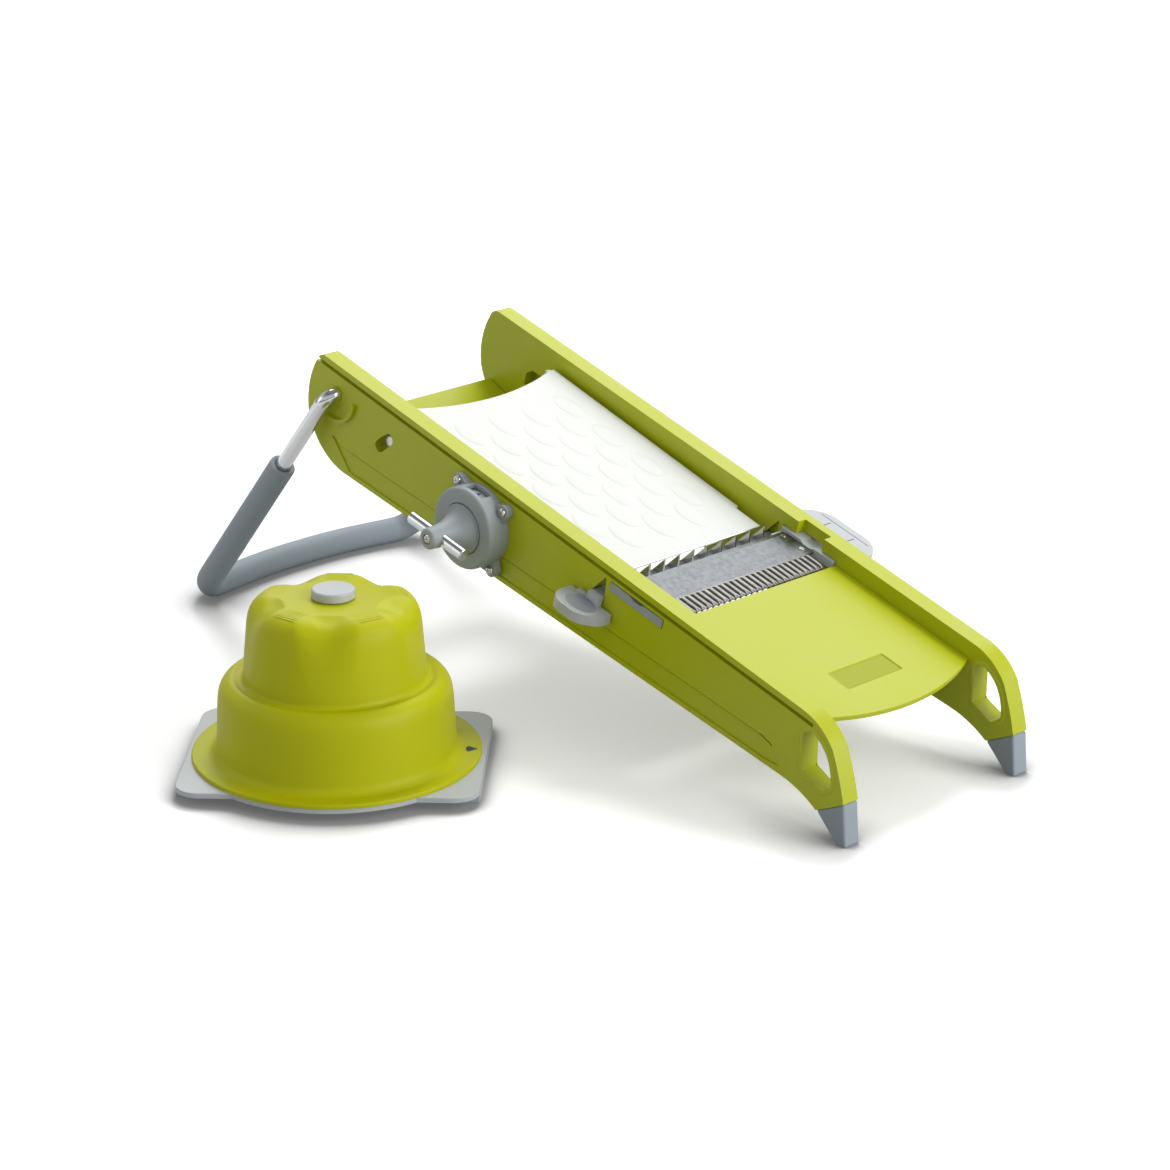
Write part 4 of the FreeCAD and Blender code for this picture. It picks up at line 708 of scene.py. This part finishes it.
@dataclass
class ThicknessDial:
    """Dial housing with its screws, number drum, hub and cross rod."""

    digits: str = "1234567"
    digit_mm: float = 5.0
    digit_rise_mm: float = 0.12
    digit_step: float = 24.0
    drum_radius_mm: float = 18.3
    drum_middle_mm: float = -71.2
    lugs: int = 4
    lug_turn: float = 45.0
    lug_circle_mm: float = 23.8
    lug_face_mm: float = -69.2
    hub_seat_mm: float = -98.8
    lug_head_mm: Pair = (2.3, 1.5)
    hub_head_mm: Pair = (2.7, 1.5)
    # A head's outline and cross recess, in shares of its radius and rise
    head_shape: Outline = ((1.0, 0.0), (1.0, 0.35), (0.9, 0.75), (0.65, 1.0))
    head_steps: int = 32
    recess_half: Pair = (0.62, 0.11)
    recess_span: Pair = (0.45, 1.6)
    recess_turn: float = 0.5

    def build(self) -> None:
        """Dress the dial."""
        dress("dial_housing", Body.FRAME, GREY, edge_mm=0.5)
        dress("cam_disc", Body.DIAL, GREY, edge_mm=0.3)
        dress("dial_hub", Body.DIAL, GREY, edge_mm=0.5)
        dress("dial_cross_rod", Body.DIAL, BRIGHT, edge_mm=0.5)
        x, z = DIAL_AXIS
        diagonals = [math.radians(self.lug_turn + 360 / self.lugs * count)
                     for count in range(self.lugs)]
        seats = [(x + self.lug_circle_mm * math.cos(turn), self.lug_face_mm,
                  z + self.lug_circle_mm * math.sin(turn)) for turn in diagonals]
        heads = self.screws("housing_screw_heads", seats, *self.lug_head_mm)
        settle(heads, Body.FRAME, EDGE, "housing_screws")
        head = self.screws("hub_screw_head", [(x, self.hub_seat_mm, z)], *self.hub_head_mm)
        settle(head, Body.DIAL, EDGE, "hub_screw")
        self.numbers()

    def screws(self, name: str, seats: Sequence[Point], radius: float, rise: float) -> Object:
        """Pan-head screws with a cross recess, looking out along minus Y.

        Args:
            name: name of the piece.
            seats: middle of each head's seat, in rail millimetres.
            radius: radius of a head.
            rise: height of a head.

        Returns:
            One piece with all the heads.
        """
        points = [(share * math.cos(turn), share * math.sin(turn), height)
                  for share, height in self.head_shape for turn in turns(self.head_steps)]
        faces = ring_faces(len(self.head_shape), self.head_steps)
        head = shape(f"{name}_head", points, faces)
        (long, wide), (bottom, top) = self.recess_half, self.recess_span
        for turn in (0.0, math.pi / 2):
            arm = slab((-long, -wide, bottom), (long, wide, top))
            aside = Matrix.Rotation(turn + self.recess_turn, 4, "Z")
            carve(head, shape("recess", *arm, aside))
        holder = shape(f"{name}_seats", seats)
        tree = RepeatTree(name, {"Radius": radius, "Rise": rise})
        unit = tree.add("GeometryNodeObjectInfo", {"Object": head})
        spots = tree.add("GeometryNodeObjectInfo", {"Object": holder})
        placed = tree.add("GeometryNodeInstanceOnPoints", {
            "Points": spots.outputs["Geometry"], "Rotation": (math.pi / 2, 0.0, 0.0),
            "Instance": tree.stretched(unit.outputs["Geometry"], ("Radius", "Radius", "Rise"))})
        return tree.piece(name, placed, EDGE, RAILS, (holder, head))

    def numbers(self) -> None:
        """Plain digits round the drum, the middle one under the window."""
        mesh = bpy.data.meshes.new("drum_numbers")
        axis = Matrix.Translation((DIAL_AXIS[0], self.drum_middle_mm, DIAL_AXIS[1]))
        with editing(mesh) as work:
            for count, digit in enumerate(self.digits):
                text = bpy.data.curves.new("digit", "FONT")
                text.body = digit
                text.size = self.digit_mm
                text.align_x = text.align_y = "CENTER"
                text.extrude = self.digit_rise_mm
                holder = new_object("digit", text)
                flat = plain_mesh(holder)
                bpy.data.objects.remove(holder)
                turn = math.radians(self.digit_step * (count - (len(self.digits) - 1) / 2))
                around = axis @ Matrix.Rotation(turn, 4, "Y")
                around = around @ Matrix.Translation((0.0, 0.0, self.drum_radius_mm))
                flat.transform(RAILS @ around)
                work.from_mesh(flat)
        settle(new_object("drum_numbers", mesh), Body.DIAL, DARK)


@dataclass
class BladeCassette:
    """Double-edged blade in its two carriers."""

    back_mm: float = 222.0
    bevel_mm: float = 3.0
    fold_start_mm: float = 244.0
    front_mm: float = 257.0
    half_width_mm: float = 53.0
    top_mm: float = -8.6
    thick_mm: float = 1.0
    edge_mm: float = 0.15
    folds: int = 26
    pitch_mm: float = 3.8
    fold_mm: float = 0.5
    fold_steps: int = 10
    crest_power: float = 0.6
    lap_mm: float = 0.1
    swell_mm: float = 1.0
    swell_step_mm: float = 0.2
    swell_rows: int = 8
    plain_rows: int = 14
    fold_crisp_angle: float = 32.0
    ground_from_mm: float = 254.4
    ground_slope: float = 0.28
    tab_top_mm: float = -7.4
    # Dark strips in the right carrier's thumb tab: painted shade where its grooves are
    tab_groove_shade_span_mm: Pair = (-0.3, 0.04)
    tab_groove_shades: tuple[Four, ...] = (
        (229.0, 71.4, 229.5, 80.5), (245.5, 71.4, 246.0, 80.5), (221.0, 82.2, 254.0, 82.6))

    def build(self) -> None:
        """Dress the cassette."""
        self.flat()
        self.crinkle()
        dress("blade_carrier_left", Body.CASSETTE, GREY, edge_mm=0.4)
        dress("blade_carrier_right", Body.CASSETTE, PALE, edge_mm=0.6)
        dress("blade_rivets", Body.CASSETTE, EDGE, edge_mm=0.15)
        # Painted shade: a dark strip in each of the tab's grooves
        low, high = [self.tab_top_mm + level for level in self.tab_groove_shade_span_mm]
        for count, (back, left, front, right) in enumerate(self.tab_groove_shades):
            line = slab((back, left, low), (front, right, high))
            settle(shape(f"tab_line_{count}", *line, RAILS), Body.CASSETTE, DARK)

    def flat(self) -> None:
        """Flat sheet with its straight edge ground at the back."""
        low = self.top_mm - self.thick_mm
        side = ((self.back_mm, low), (self.back_mm, low + self.edge_mm),
                (self.back_mm + self.bevel_mm, self.top_mm),
                (self.fold_start_mm, self.top_mm), (self.fold_start_mm, low))
        sheet = prism(side, (-self.half_width_mm, self.half_width_mm), across=True)
        settle(shape("blade_sheet", *sheet, RAILS), Body.CASSETTE, SHEET, "cutting_blade")

    def crinkle(self) -> None:
        """Crinkled front of the blade: folds that start from the flat and are ground to an edge."""
        columns = self.folds * self.fold_steps
        first = self.fold_start_mm - self.lap_mm
        rows = [first + self.swell_step_mm * k for k in range(self.swell_rows)]
        swollen, rest = rows[-1], self.front_mm - rows[-1]
        rows += [swollen + rest * (k + 1) / self.plain_rows for k in range(self.plain_rows)]
        points = []
        for along in rows:
            upper, lower = [], []
            grown = min(max((along - self.fold_start_mm) / self.swell_mm, 0.0), 1.0)
            grown = grown * grown * (3 - 2 * grown)
            ground = self.top_mm + self.fold_mm - (along - self.ground_from_mm) * self.ground_slope
            for column in range(columns + 1):
                across = self.pitch_mm * (column / self.fold_steps - self.folds / 2)
                crest = abs(math.sin(math.pi * column / self.fold_steps)) ** self.crest_power
                top = self.top_mm + self.fold_mm * grown * (2 * crest - 1)
                bottom = top - self.thick_mm
                upper.append((along, across, max(min(top, ground), bottom + self.edge_mm)))
                lower.append((along, across, bottom))
            points += [*upper, *reversed(lower)]
        faces = ring_faces(len(rows), 2 * (columns + 1))
        piece = shape("blade_crinkle", points, faces, RAILS, self.fold_crisp_angle)
        settle(piece, Body.CASSETTE, FOLDED)


@dataclass
class JulienneComb:
    """Comb with its teeth and finger tab."""

    dish_middle: Point = (211.5, -73.0, -22.3)
    dish_half: Three = (9.6, 6.8, 2.6)
    dish_steps: tuple[int, int] = (64, 24)
    bead_mm: Pair = (0.7, 0.45)
    bead_steps: tuple[int, int] = (72, 8)
    corners_mm: Outline = ((217.0, -81.6), (226.0, -72.6))
    corner_near_mm: float = 0.3
    corner_round_mm: float = 4.2
    corner_steps: int = 6

    def build(self) -> None:
        """Dress the comb."""
        dress("comb_bar", Body.COMB, GREY, edge_mm=0.3)
        dress("julienne_teeth", Body.COMB, EDGE, edge_mm=0.12)
        self.tab()
        self.bead()

    def tab(self) -> None:
        """Finger tab with a smooth oval dish for the fingertip."""
        piece = copied("comb_tab")
        self.round_corners(piece.data)
        dish = bpy.data.meshes.new("dish_cutter")
        around, down = self.dish_steps
        with editing(dish) as work:
            bmesh.ops.create_uvsphere(work, u_segments=around, v_segments=down, radius=1.0)
        grown = Matrix.Diagonal((*self.dish_half, 1.0))
        dish.transform(RAILS @ Matrix.Translation(self.dish_middle) @ grown)
        carve(piece, new_object("dish_cutter", dish))
        # Painted light: the tab gets the paler grey, lighter than its comb bar
        dress("comb_tab", Body.COMB, PALE, edge_mm=0.5, segments=3, piece=piece)

    def bead(self) -> None:
        """Low bead round the dish."""
        (x, y, z), (long, wide, _) = self.dish_middle, self.dish_half
        around, across = self.bead_steps
        rings = []
        for slant in turns(across):
            out, rise = self.bead_mm[0] * math.cos(slant), self.bead_mm[1] * math.sin(slant)
            rings.append([(x + (long + out) * math.cos(turn), y + (wide + out) * math.sin(turn),
                           z + rise) for turn in turns(around)])
        # Painted light: the bead gets the paler grey too
        settle(turned_shell("comb_tab_bead", rings, RAILS), Body.COMB, PALE)

    def round_corners(self, mesh: Mesh) -> None:
        """Turn the tab's slanted front corner into one flowing curve.

        Args:
            mesh: mesh of the tab, changed in place.
        """
        to_rail = RAILS.inverted()
        upright = []
        with editing(mesh) as work:
            spots = {vert: (to_rail @ vert.co).xy for vert in work.verts}
            for corner in self.corners_mm:
                near = {vert for vert, spot in spots.items()
                        if (spot - Vector(corner)).length < self.corner_near_mm}
                upright.extend(edge for edge in work.edges if near.issuperset(edge.verts))
            LOG.info("comb tab: %d upright edges rounded", len(upright))
            bmesh.ops.bevel(work, geom=upright, offset=self.corner_round_mm * MM,
                            offset_type="OFFSET", segments=self.corner_steps, profile=0.5,
                            affect="EDGES")


@dataclass
class RearLeg:
    """Wire leg in its soft sleeve."""

    pivot: Pair = (-116.66, 138.57)
    foot: Pair = (-222.42, 7.0)
    middle_mm: float = 83.1
    half_mm: Four = (58.2, 71.5, 75.0, 25.0)
    bow_mm: float = 9.3
    bends_mm: Three = (7.0, 14.0, 120.0)
    bend_steps: int = 24
    rod_mm: float = 4.0
    around: int = 32
    crisp_angle: float = 50.0

    def build(self) -> None:
        """Dress the leg."""
        self.rod()
        dress("leg_sleeve", Body.LEG, RUBBER, edge_mm=1.0, segments=3)

    def path(self) -> list[Vector]:
        """Middle line of the rod: straight runs joined by arcs.

        Returns:
            Points from the left pivot end to the right one, in row millimetres.
        """
        end, top, low, bow = self.half_mm
        bowed = (self.foot[0] - self.bow_mm, self.foot[1])
        places = ((self.pivot, end), (self.pivot, top), (self.foot, low), (bowed, bow))
        left = [Vector((x, self.middle_mm - half, z)) for (x, z), half in places]
        right = [Vector((spot.x, 2 * self.middle_mm - spot.y, spot.z)) for spot in reversed(left)]
        corners = left + right
        bends = (*self.bends_mm, *reversed(self.bends_mm))
        line = [corners[0]]
        for before, corner, after, bend in zip(corners, corners[1:], corners[2:], bends):
            back, on = (before - corner).normalized(), (after - corner).normalized()
            half_turn = back.angle(on) / 2
            inward = (back + on).normalized()
            across = (on - back).normalized()
            hub = corner + inward * (bend / math.sin(half_turn))
            sweep = math.pi / 2 - half_turn
            for step in range(self.bend_steps + 1):
                turn = -sweep + 2 * sweep * step / self.bend_steps
                aside = across * (bend * math.sin(turn))
                line.append(hub - inward * (bend * math.cos(turn)) + aside)
        return [*line, corners[-1]]

    def rod(self) -> None:
        """Round rod swept along its middle line."""
        line = self.path()
        side = Vector((1.0, 0.0, 0.0))
        points = []
        for count, point in enumerate(line):
            way = line[min(count + 1, len(line) - 1)] - line[max(count - 1, 0)]
            way.normalize()
            side = (side - way * side.dot(way)).normalized()
            other = way.cross(side)
            points += [point + (side * math.cos(turn) + other * math.sin(turn)) * self.rod_mm
                       for turn in turns(self.around)]
        faces = ring_faces(len(line), self.around)
        piece = shape("leg_rod_swept", points, faces, ROW, self.crisp_angle)
        settle(piece, Body.LEG, BRIGHT, "leg_rod")


@dataclass
class FoodPusher:
    """Pusher: base, drum, crown with finger scoops, and plunger."""

    # Outlines of radius and height
    drum_outside: Outline = (
        (69.8, 7.4), (69.8, 8.7), (69.6, 9.2), (69.1, 9.4), (66.0, 9.4), (62.6, 9.4), (60.6, 9.8),
        (59.2, 10.7), (58.2, 12.2), (57.8, 14.4), (57.4, 20.0), (57.1, 26.0), (56.8, 32.0),
        (56.4, 37.6), (55.8, 41.2), (54.4, 44.2), (52.3, 46.3), (50.2, 47.2), (48.4, 47.2),
        (46.8, 46.7), (45.2, 47.0))
    drum_inside: Outline = (
        (36.6, 47.0), (36.6, 45.2), (46.6, 44.8), (52.0, 41.8), (54.0, 35.6), (55.4, 9.5),
        (44.5, 9.4), (44.5, 4.4), (46.7, 4.4), (46.7, 7.4))
    crown_outside: Outline = (
        (45.2, 47.0), (44.5, 47.5), (44.0, 48.8), (43.8, 51.0), (43.4, 55.0), (43.1, 60.0),
        (42.7, 65.0), (42.3, 70.0), (41.9, 74.6), (41.2, 78.4), (39.9, 81.6), (37.9, 84.0),
        (35.2, 85.6), (32.0, 86.3), (28.0, 86.4), (23.0, 86.4), (17.0, 86.4), (11.0, 86.4),
        (4.3, 86.4))
    crown_inside: Outline = (
        (4.3, 73.0), (8.3, 73.0), (8.3, 80.0), (26.0, 80.0), (31.4, 78.0), (34.6, 74.4),
        (36.2, 70.2), (36.6, 66.0), (36.6, 47.0))
    drum_steps: int = 2
    crown_steps: int = 7
    around: int = 320
    scoops: int = 5
    scoop_turn: float = -88.5
    scoop_mm: float = 3.7
    scoop_rim: Pair = (39.4, 82.3)
    scoop_half_mm: float = 16.5
    scoop_reach_mm: Pair = (16.5, 20.0)
    # A scoop's edge fades out at its sides and below, and is crisp towards the axis
    scoop_edge: Pair = (2.0, 0.9)
    crisp_sides: float = 6.0
    crisp_from: float = 0.02
    flute_mm: float = 1.5
    flute_reach_mm: float = 34.0
    rib_start_mm: float = 25.5
    rib_count: int = 7
    rib_step_mm: float = 1.55
    rib_mm: Three = (0.7, 13.5, 0.3)
    rib_seat_steps: int = 4
    # The flange's arrow-shaped hole, drawn as a thin dark sheet: painted shade
    arrow_outline: Outline = (
        (60.8, -2.2), (63.0, -2.2), (63.0, -3.6), (68.0, 0.0), (63.0, 3.6), (63.0, 2.2),
        (60.8, 2.2))
    arrow_span_mm: Pair = (9.3, 9.46)
    arrow_turn: float = 1.0

    def build(self) -> None:
        """Dress the pusher."""
        dress("pusher_base", Body.BASE, PALE, edge_mm=0.7, segments=3)
        self.drum()
        self.crown()
        self.lobe_ribs()
        self.arrow()
        dress("dome_retaining_ring", Body.DOME, GREY, edge_mm=0.3)
        dress("plunger_cap", Body.PLUNGER, PALE, edge_mm=0.5, segments=3)
        dress("plunger_rod", Body.PLUNGER, EDGE, edge_mm=0.3)
        dress("spike_disc", Body.PLUNGER, MILKY, edge_mm=0.4)
        dress("food_spikes", Body.PLUNGER, EDGE, edge_mm=0.0)

    def ring(self, radius: float, height: float) -> list[Point]:
        """Points of a plain ring round the axis."""
        return [(radius * math.cos(turn), radius * math.sin(turn), height)
                for turn in turns(self.around)]

    def scooped_ring(self, point: Vector, along: float) -> list[Point]:
        """Points of a ring with the finger scoops pressed down and a soft flute below each.

        Args:
            point: radius and height of the plain outline.
            along: distance along the outline from the scoops' rim, positive towards the axis.

        Returns:
            The ring's points.
        """
        reach = flute_reach = self.scoop_reach_mm[0]
        if along <= 0:
            reach, flute_reach = self.scoop_reach_mm[1], self.flute_reach_mm
        inner = (max(along, 0.0) / reach) ** 2
        fade, crisp_edge = self.scoop_edge
        pitch = 2 * math.pi / self.scoops
        points = []
        for turn in turns(self.around):
            off = (turn - math.radians(self.scoop_turn) + pitch / 2) % pitch - pitch / 2
            aside = (off * point.x / self.scoop_half_mm) ** 2
            beyond = self.crisp_sides * aside * aside + self.crisp_from
            crisp = inner * inner / (inner * inner + beyond)
            edge = fade + (crisp_edge - fade) * crisp
            down = self.scoop_mm * max(1.0 - (along / reach) ** 2 - aside, 0.0) ** edge
            flute = self.flute_mm * max(1.0 - (along / flute_reach) ** 2 - aside, 0.0) ** 2
            radius = point.x - flute
            points.append((radius * math.cos(turn), radius * math.sin(turn), point.y - down))
        return points

    def drum(self) -> None:
        """Drum with its flange, shoulder and the shallow groove at the crown's foot."""
        outline = (*flowing(self.drum_outside, self.drum_steps), *self.drum_inside)
        shell = turned_shell("dome_drum_shell", [self.ring(*point) for point in outline], PUSHER)
        settle(shell, Body.DOME, SATIN, "dome_drum")

    def crown(self) -> None:
        """Crown with the scoops outside, plain inside."""
        outline = [Vector(point) for point in flowing(self.crown_outside, self.crown_steps)]
        steps = [(after - before).length for before, after in zip(outline, outline[1:])]
        travelled = [sum(steps[:count]) for count in range(len(outline))]
        off_rim = [(point - Vector(self.scoop_rim)).length for point in outline]
        rim = travelled[off_rim.index(min(off_rim))]
        rings = [self.scooped_ring(point, way - rim) for point, way in zip(outline, travelled)]
        rings += [self.ring(*point) for point in self.crown_inside]
        shell = turned_shell("dome_crown_shell", rings, PUSHER)
        settle(shell, Body.DOME, SATIN, "dome_crown")

    def lobe_ribs(self) -> None:
        """Patches of fine grip ribs on top of the lobes between the scoops."""
        tree = RepeatTree("lobe_ribs", dict(zip(("Width", "Length", "Rise"), self.rib_mm)))
        ball = tree.add("GeometryNodeMeshUVSphere", {"Segments": 16, "Rings": 10, "Radius": 0.5})
        rib = tree.stretched(ball, ("Width", "Length", "Rise"))
        outline = flowing(self.crown_outside, self.rib_seat_steps)
        seats = []
        for count in range(self.rib_count):
            radius = self.rib_start_mm + self.rib_step_mm * count
            seat = min(outline, key=lambda point: abs(point[0] - radius) - point[1])
            seats.append((radius, 0.0, seat[1]))
        holder = shape("rib_seats", seats)
        info = tree.add("GeometryNodeObjectInfo", {"Object": holder})
        patch = tree.add("GeometryNodeInstanceOnPoints", {
            "Points": info.outputs["Geometry"], "Instance": rib})
        joined = tree.add("GeometryNodeJoinGeometry")
        for lobe in range(self.scoops):
            angle = math.radians(self.scoop_turn) + 2 * math.pi * (lobe + 0.5) / self.scoops
            turned = tree.add("GeometryNodeTransform", {
                "Geometry": patch, "Rotation": (0.0, 0.0, angle)})
            wire(tree.tree, joined, {"Geometry": turned})
        ribs = tree.piece("lobe_grip_ribs", joined, SATIN, PUSHER, (holder,))
        settle(ribs, Body.DOME, SATIN)

    def arrow(self) -> None:
        """Arrow-shaped hole in the flange, pointing outwards, drawn as a thin dark sheet of painted
        shade.
        """
        place = PUSHER @ Matrix.Rotation(math.radians(self.arrow_turn), 4, "Z")
        arrow = prism(self.arrow_outline, self.arrow_span_mm)
        settle(shape("flange_arrow", *arrow, place), Body.DOME, DARK)


# Studio

@dataclass(frozen=True)
class Softbox:
    """A square lamp: its place and aim in metres, side, power and what it lights."""

    name: str
    at: Point
    aim: Point
    side_m: float
    watts: float
    diffuse: bool = True
    glossy: bool = True

    def build(self) -> None:
        """Add the lamp to the scene."""
        light = bpy.data.lights.new(self.name, "AREA")
        light.size = self.side_m
        light.energy = self.watts
        lamp = new_object(self.name, light)
        lamp.location = self.at
        way = Vector(self.aim) - Vector(self.at)
        lamp.rotation_euler = way.to_track_quat("-Z", "Y").to_euler()
        lamp.visible_diffuse = self.diffuse
        lamp.visible_glossy = self.glossy


@dataclass
class Studio:
    """Pale floor, soft light and the camera."""

    # The back softbox is only seen in reflections; the key casts the shadow and is not reflected
    lamps: tuple[Softbox, ...] = (
        Softbox("side_softbox", (2.1, 0.8, 0.9), (0.0, 0.0, 0.06), 1.9, 40.0),
        Softbox("back_softbox", (-0.96, 1.32, 1.75), (0.0, 0.0, 0.05), 2.4, 40.0, diffuse=False),
        Softbox("overhead_key", (-0.71, 0.975, 2.13), (0.0, 0.0, 0.05), 0.6, 23.5, glossy=False),
        Softbox("left_fill", (-0.64, -0.56, 0.36), (-0.15, 0.0, 0.1), 0.5, 0.6))
    camera_mm: Point = (1218.58, -1082.4, 666.3)
    turn: float = 46.30
    rise: float = 20.11
    lens_mm: float = 108.37
    # The floor glows more from near to far, and less where the sky above it is covered: painted
    # contact shadow
    floor_half_m: float = 6.0
    glow_from_m: Pair = (0.45, 0.9)
    glow: Pair = (0.33, 1.0)
    contact_m: float = 0.035
    contact_samples: int = 16
    contact_sky: Pair = (0.6, 0.95)
    contact: Pair = (0.3, 1.0)
    floor_grey: float = 0.87
    bounce_grey: float = 0.45
    mirror_share: float = 0.45
    # Surround: its light, and its greys in mirrors by height, with those at the two ends
    ambient: float = 0.45
    bands: Outline = ((0.1, 0.07), (0.22, 0.62), (0.45, 0.7), (0.62, 0.5), (0.85, 0.16))
    band_ends: Pair = (0.45, 0.3)

    def build(self) -> None:
        """Set up floor, lamps, world and camera."""
        self.floor()
        self.world()
        for lamp in self.lamps:
            lamp.build()
        self.camera()
        bpy.context.scene.view_settings.view_transform = "Standard"

    def floor(self) -> None:
        """Pale floor that keeps the lamps' shadow, with painted contact shadow under things, and
        looks white to the camera.
        """
        half = self.floor_half_m
        mesh = bpy.data.meshes.new("floor")
        corners = [(-half, -half, 0), (half, -half, 0), (half, half, 0), (-half, half, 0)]
        mesh.from_pydata(corners, [], [(0, 1, 2, 3)])
        piece = new_object("floor", mesh)
        material = bpy.data.materials.new("pale_floor")
        material.use_nodes = True
        tree = material.node_tree
        tree.nodes.clear()
        add = partial(add_node, tree)
        place = add("ShaderNodeTexCoord").outputs["Object"]
        far = add("ShaderNodeVectorMath", {0: place}, operation="LENGTH")
        lift = add("ShaderNodeMapRange", {
            "Value": far.outputs["Value"], **spans(self.glow_from_m, self.glow)})
        # Painted contact shadow: glow and grey fall where things close above hide the sky
        sky = add("ShaderNodeAmbientOcclusion", {"Distance": self.contact_m},
                  samples=self.contact_samples)
        contact = add("ShaderNodeMapRange", {
            "Value": sky.outputs["AO"], **spans(self.contact_sky, self.contact)})
        strength = add("ShaderNodeMath", {0: lift, 1: contact}, operation="MULTIPLY")
        dull = add("ShaderNodeMath", {0: contact, 1: self.floor_grey}, operation="MULTIPLY")
        glow = add("ShaderNodeEmission", {"Color": grey(1.0), "Strength": strength})
        pale = add("ShaderNodeBsdfDiffuse", {"Color": dull})
        seen = add("ShaderNodeAddShader", {0: glow, 1: pale})
        unseen = add("ShaderNodeBsdfDiffuse", {"Color": grey(self.bounce_grey)})
        path = add("ShaderNodeLightPath")
        mirror = add("ShaderNodeMath", {
            0: path.outputs["Is Glossy Ray"], 1: path.outputs["Is Transmission Ray"]},
            operation="MAXIMUM")
        dimmed = add("ShaderNodeMath", {0: mirror, 1: self.mirror_share}, operation="MULTIPLY")
        shown = add("ShaderNodeMath", {
            0: path.outputs["Is Camera Ray"], 1: dimmed}, operation="MAXIMUM")
        mix = add("ShaderNodeMixShader", {0: shown, 1: unseen, 2: seen})
        add("ShaderNodeOutputMaterial", {"Surface": mix})
        mesh.materials.append(material)

    def world(self) -> None:
        """White surround to the camera, dim as light, banded dark and bright in mirrors."""
        world = bpy.data.worlds.new("studio")
        bpy.context.scene.world = world
        world.use_nodes = True
        tree = world.node_tree
        tree.nodes.clear()
        add = partial(add_node, tree)
        path = add("ShaderNodeLightPath")
        seen = add("ShaderNodeMath", {
            0: path.outputs["Is Camera Ray"], 1: path.outputs["Is Transmission Ray"]},
            operation="MAXIMUM")
        way = add("ShaderNodeTexCoord").outputs["Generated"]
        split = add("ShaderNodeSeparateXYZ", {"Vector": way})
        bands = add("ShaderNodeValToRGB", {"Fac": split.outputs["Z"]})
        stops = bands.color_ramp.elements
        for height, share in self.bands:
            stops.new(height).color = grey(share)
        for end, share in zip((0, -1), self.band_ends):
            stops[end].color = grey(share)
        ambient = add("ShaderNodeBackground", {"Color": grey(1.0), "Strength": self.ambient})
        mirrored = add("ShaderNodeBackground", {"Color": bands, "Strength": 1.0})
        shown = add("ShaderNodeBackground", {"Color": grey(1.0), "Strength": 1.0})
        lit = add("ShaderNodeMixShader", {
            0: path.outputs["Is Glossy Ray"], 1: ambient, 2: mirrored})
        mix = add("ShaderNodeMixShader", {0: seen, 1: lit, 2: shown})
        add("ShaderNodeOutputWorld", {"Surface": mix})

    def camera(self) -> None:
        """Camera at the photograph's view."""
        data = bpy.data.cameras.new("view")
        data.lens = self.lens_mm
        camera = new_object("view", data)
        turn, rise = math.radians(self.turn), math.radians(self.rise)
        back = Vector((math.sin(turn) * math.cos(rise), -math.cos(turn) * math.cos(rise),
                       math.sin(rise)))
        right = Vector((math.cos(turn), math.sin(turn), 0.0))
        axes = Matrix((right, back.cross(right), back)).transposed().to_4x4()
        camera.matrix_world = Matrix.Translation(Vector(self.camera_mm) * MM) @ axes
        bpy.context.scene.camera = camera


def main() -> None:
    """Build every sub-assembly and the studio in order."""
    logging.basicConfig(level=logging.INFO, format="%(message)s")
    for part in (SlicerFrame(), SlidePlate(), ThicknessDial(), BladeCassette(), JulienneComb(),
                 RearLeg(), FoodPusher(), Studio()):
        part.build()


if __name__ == "__main__":
    main()
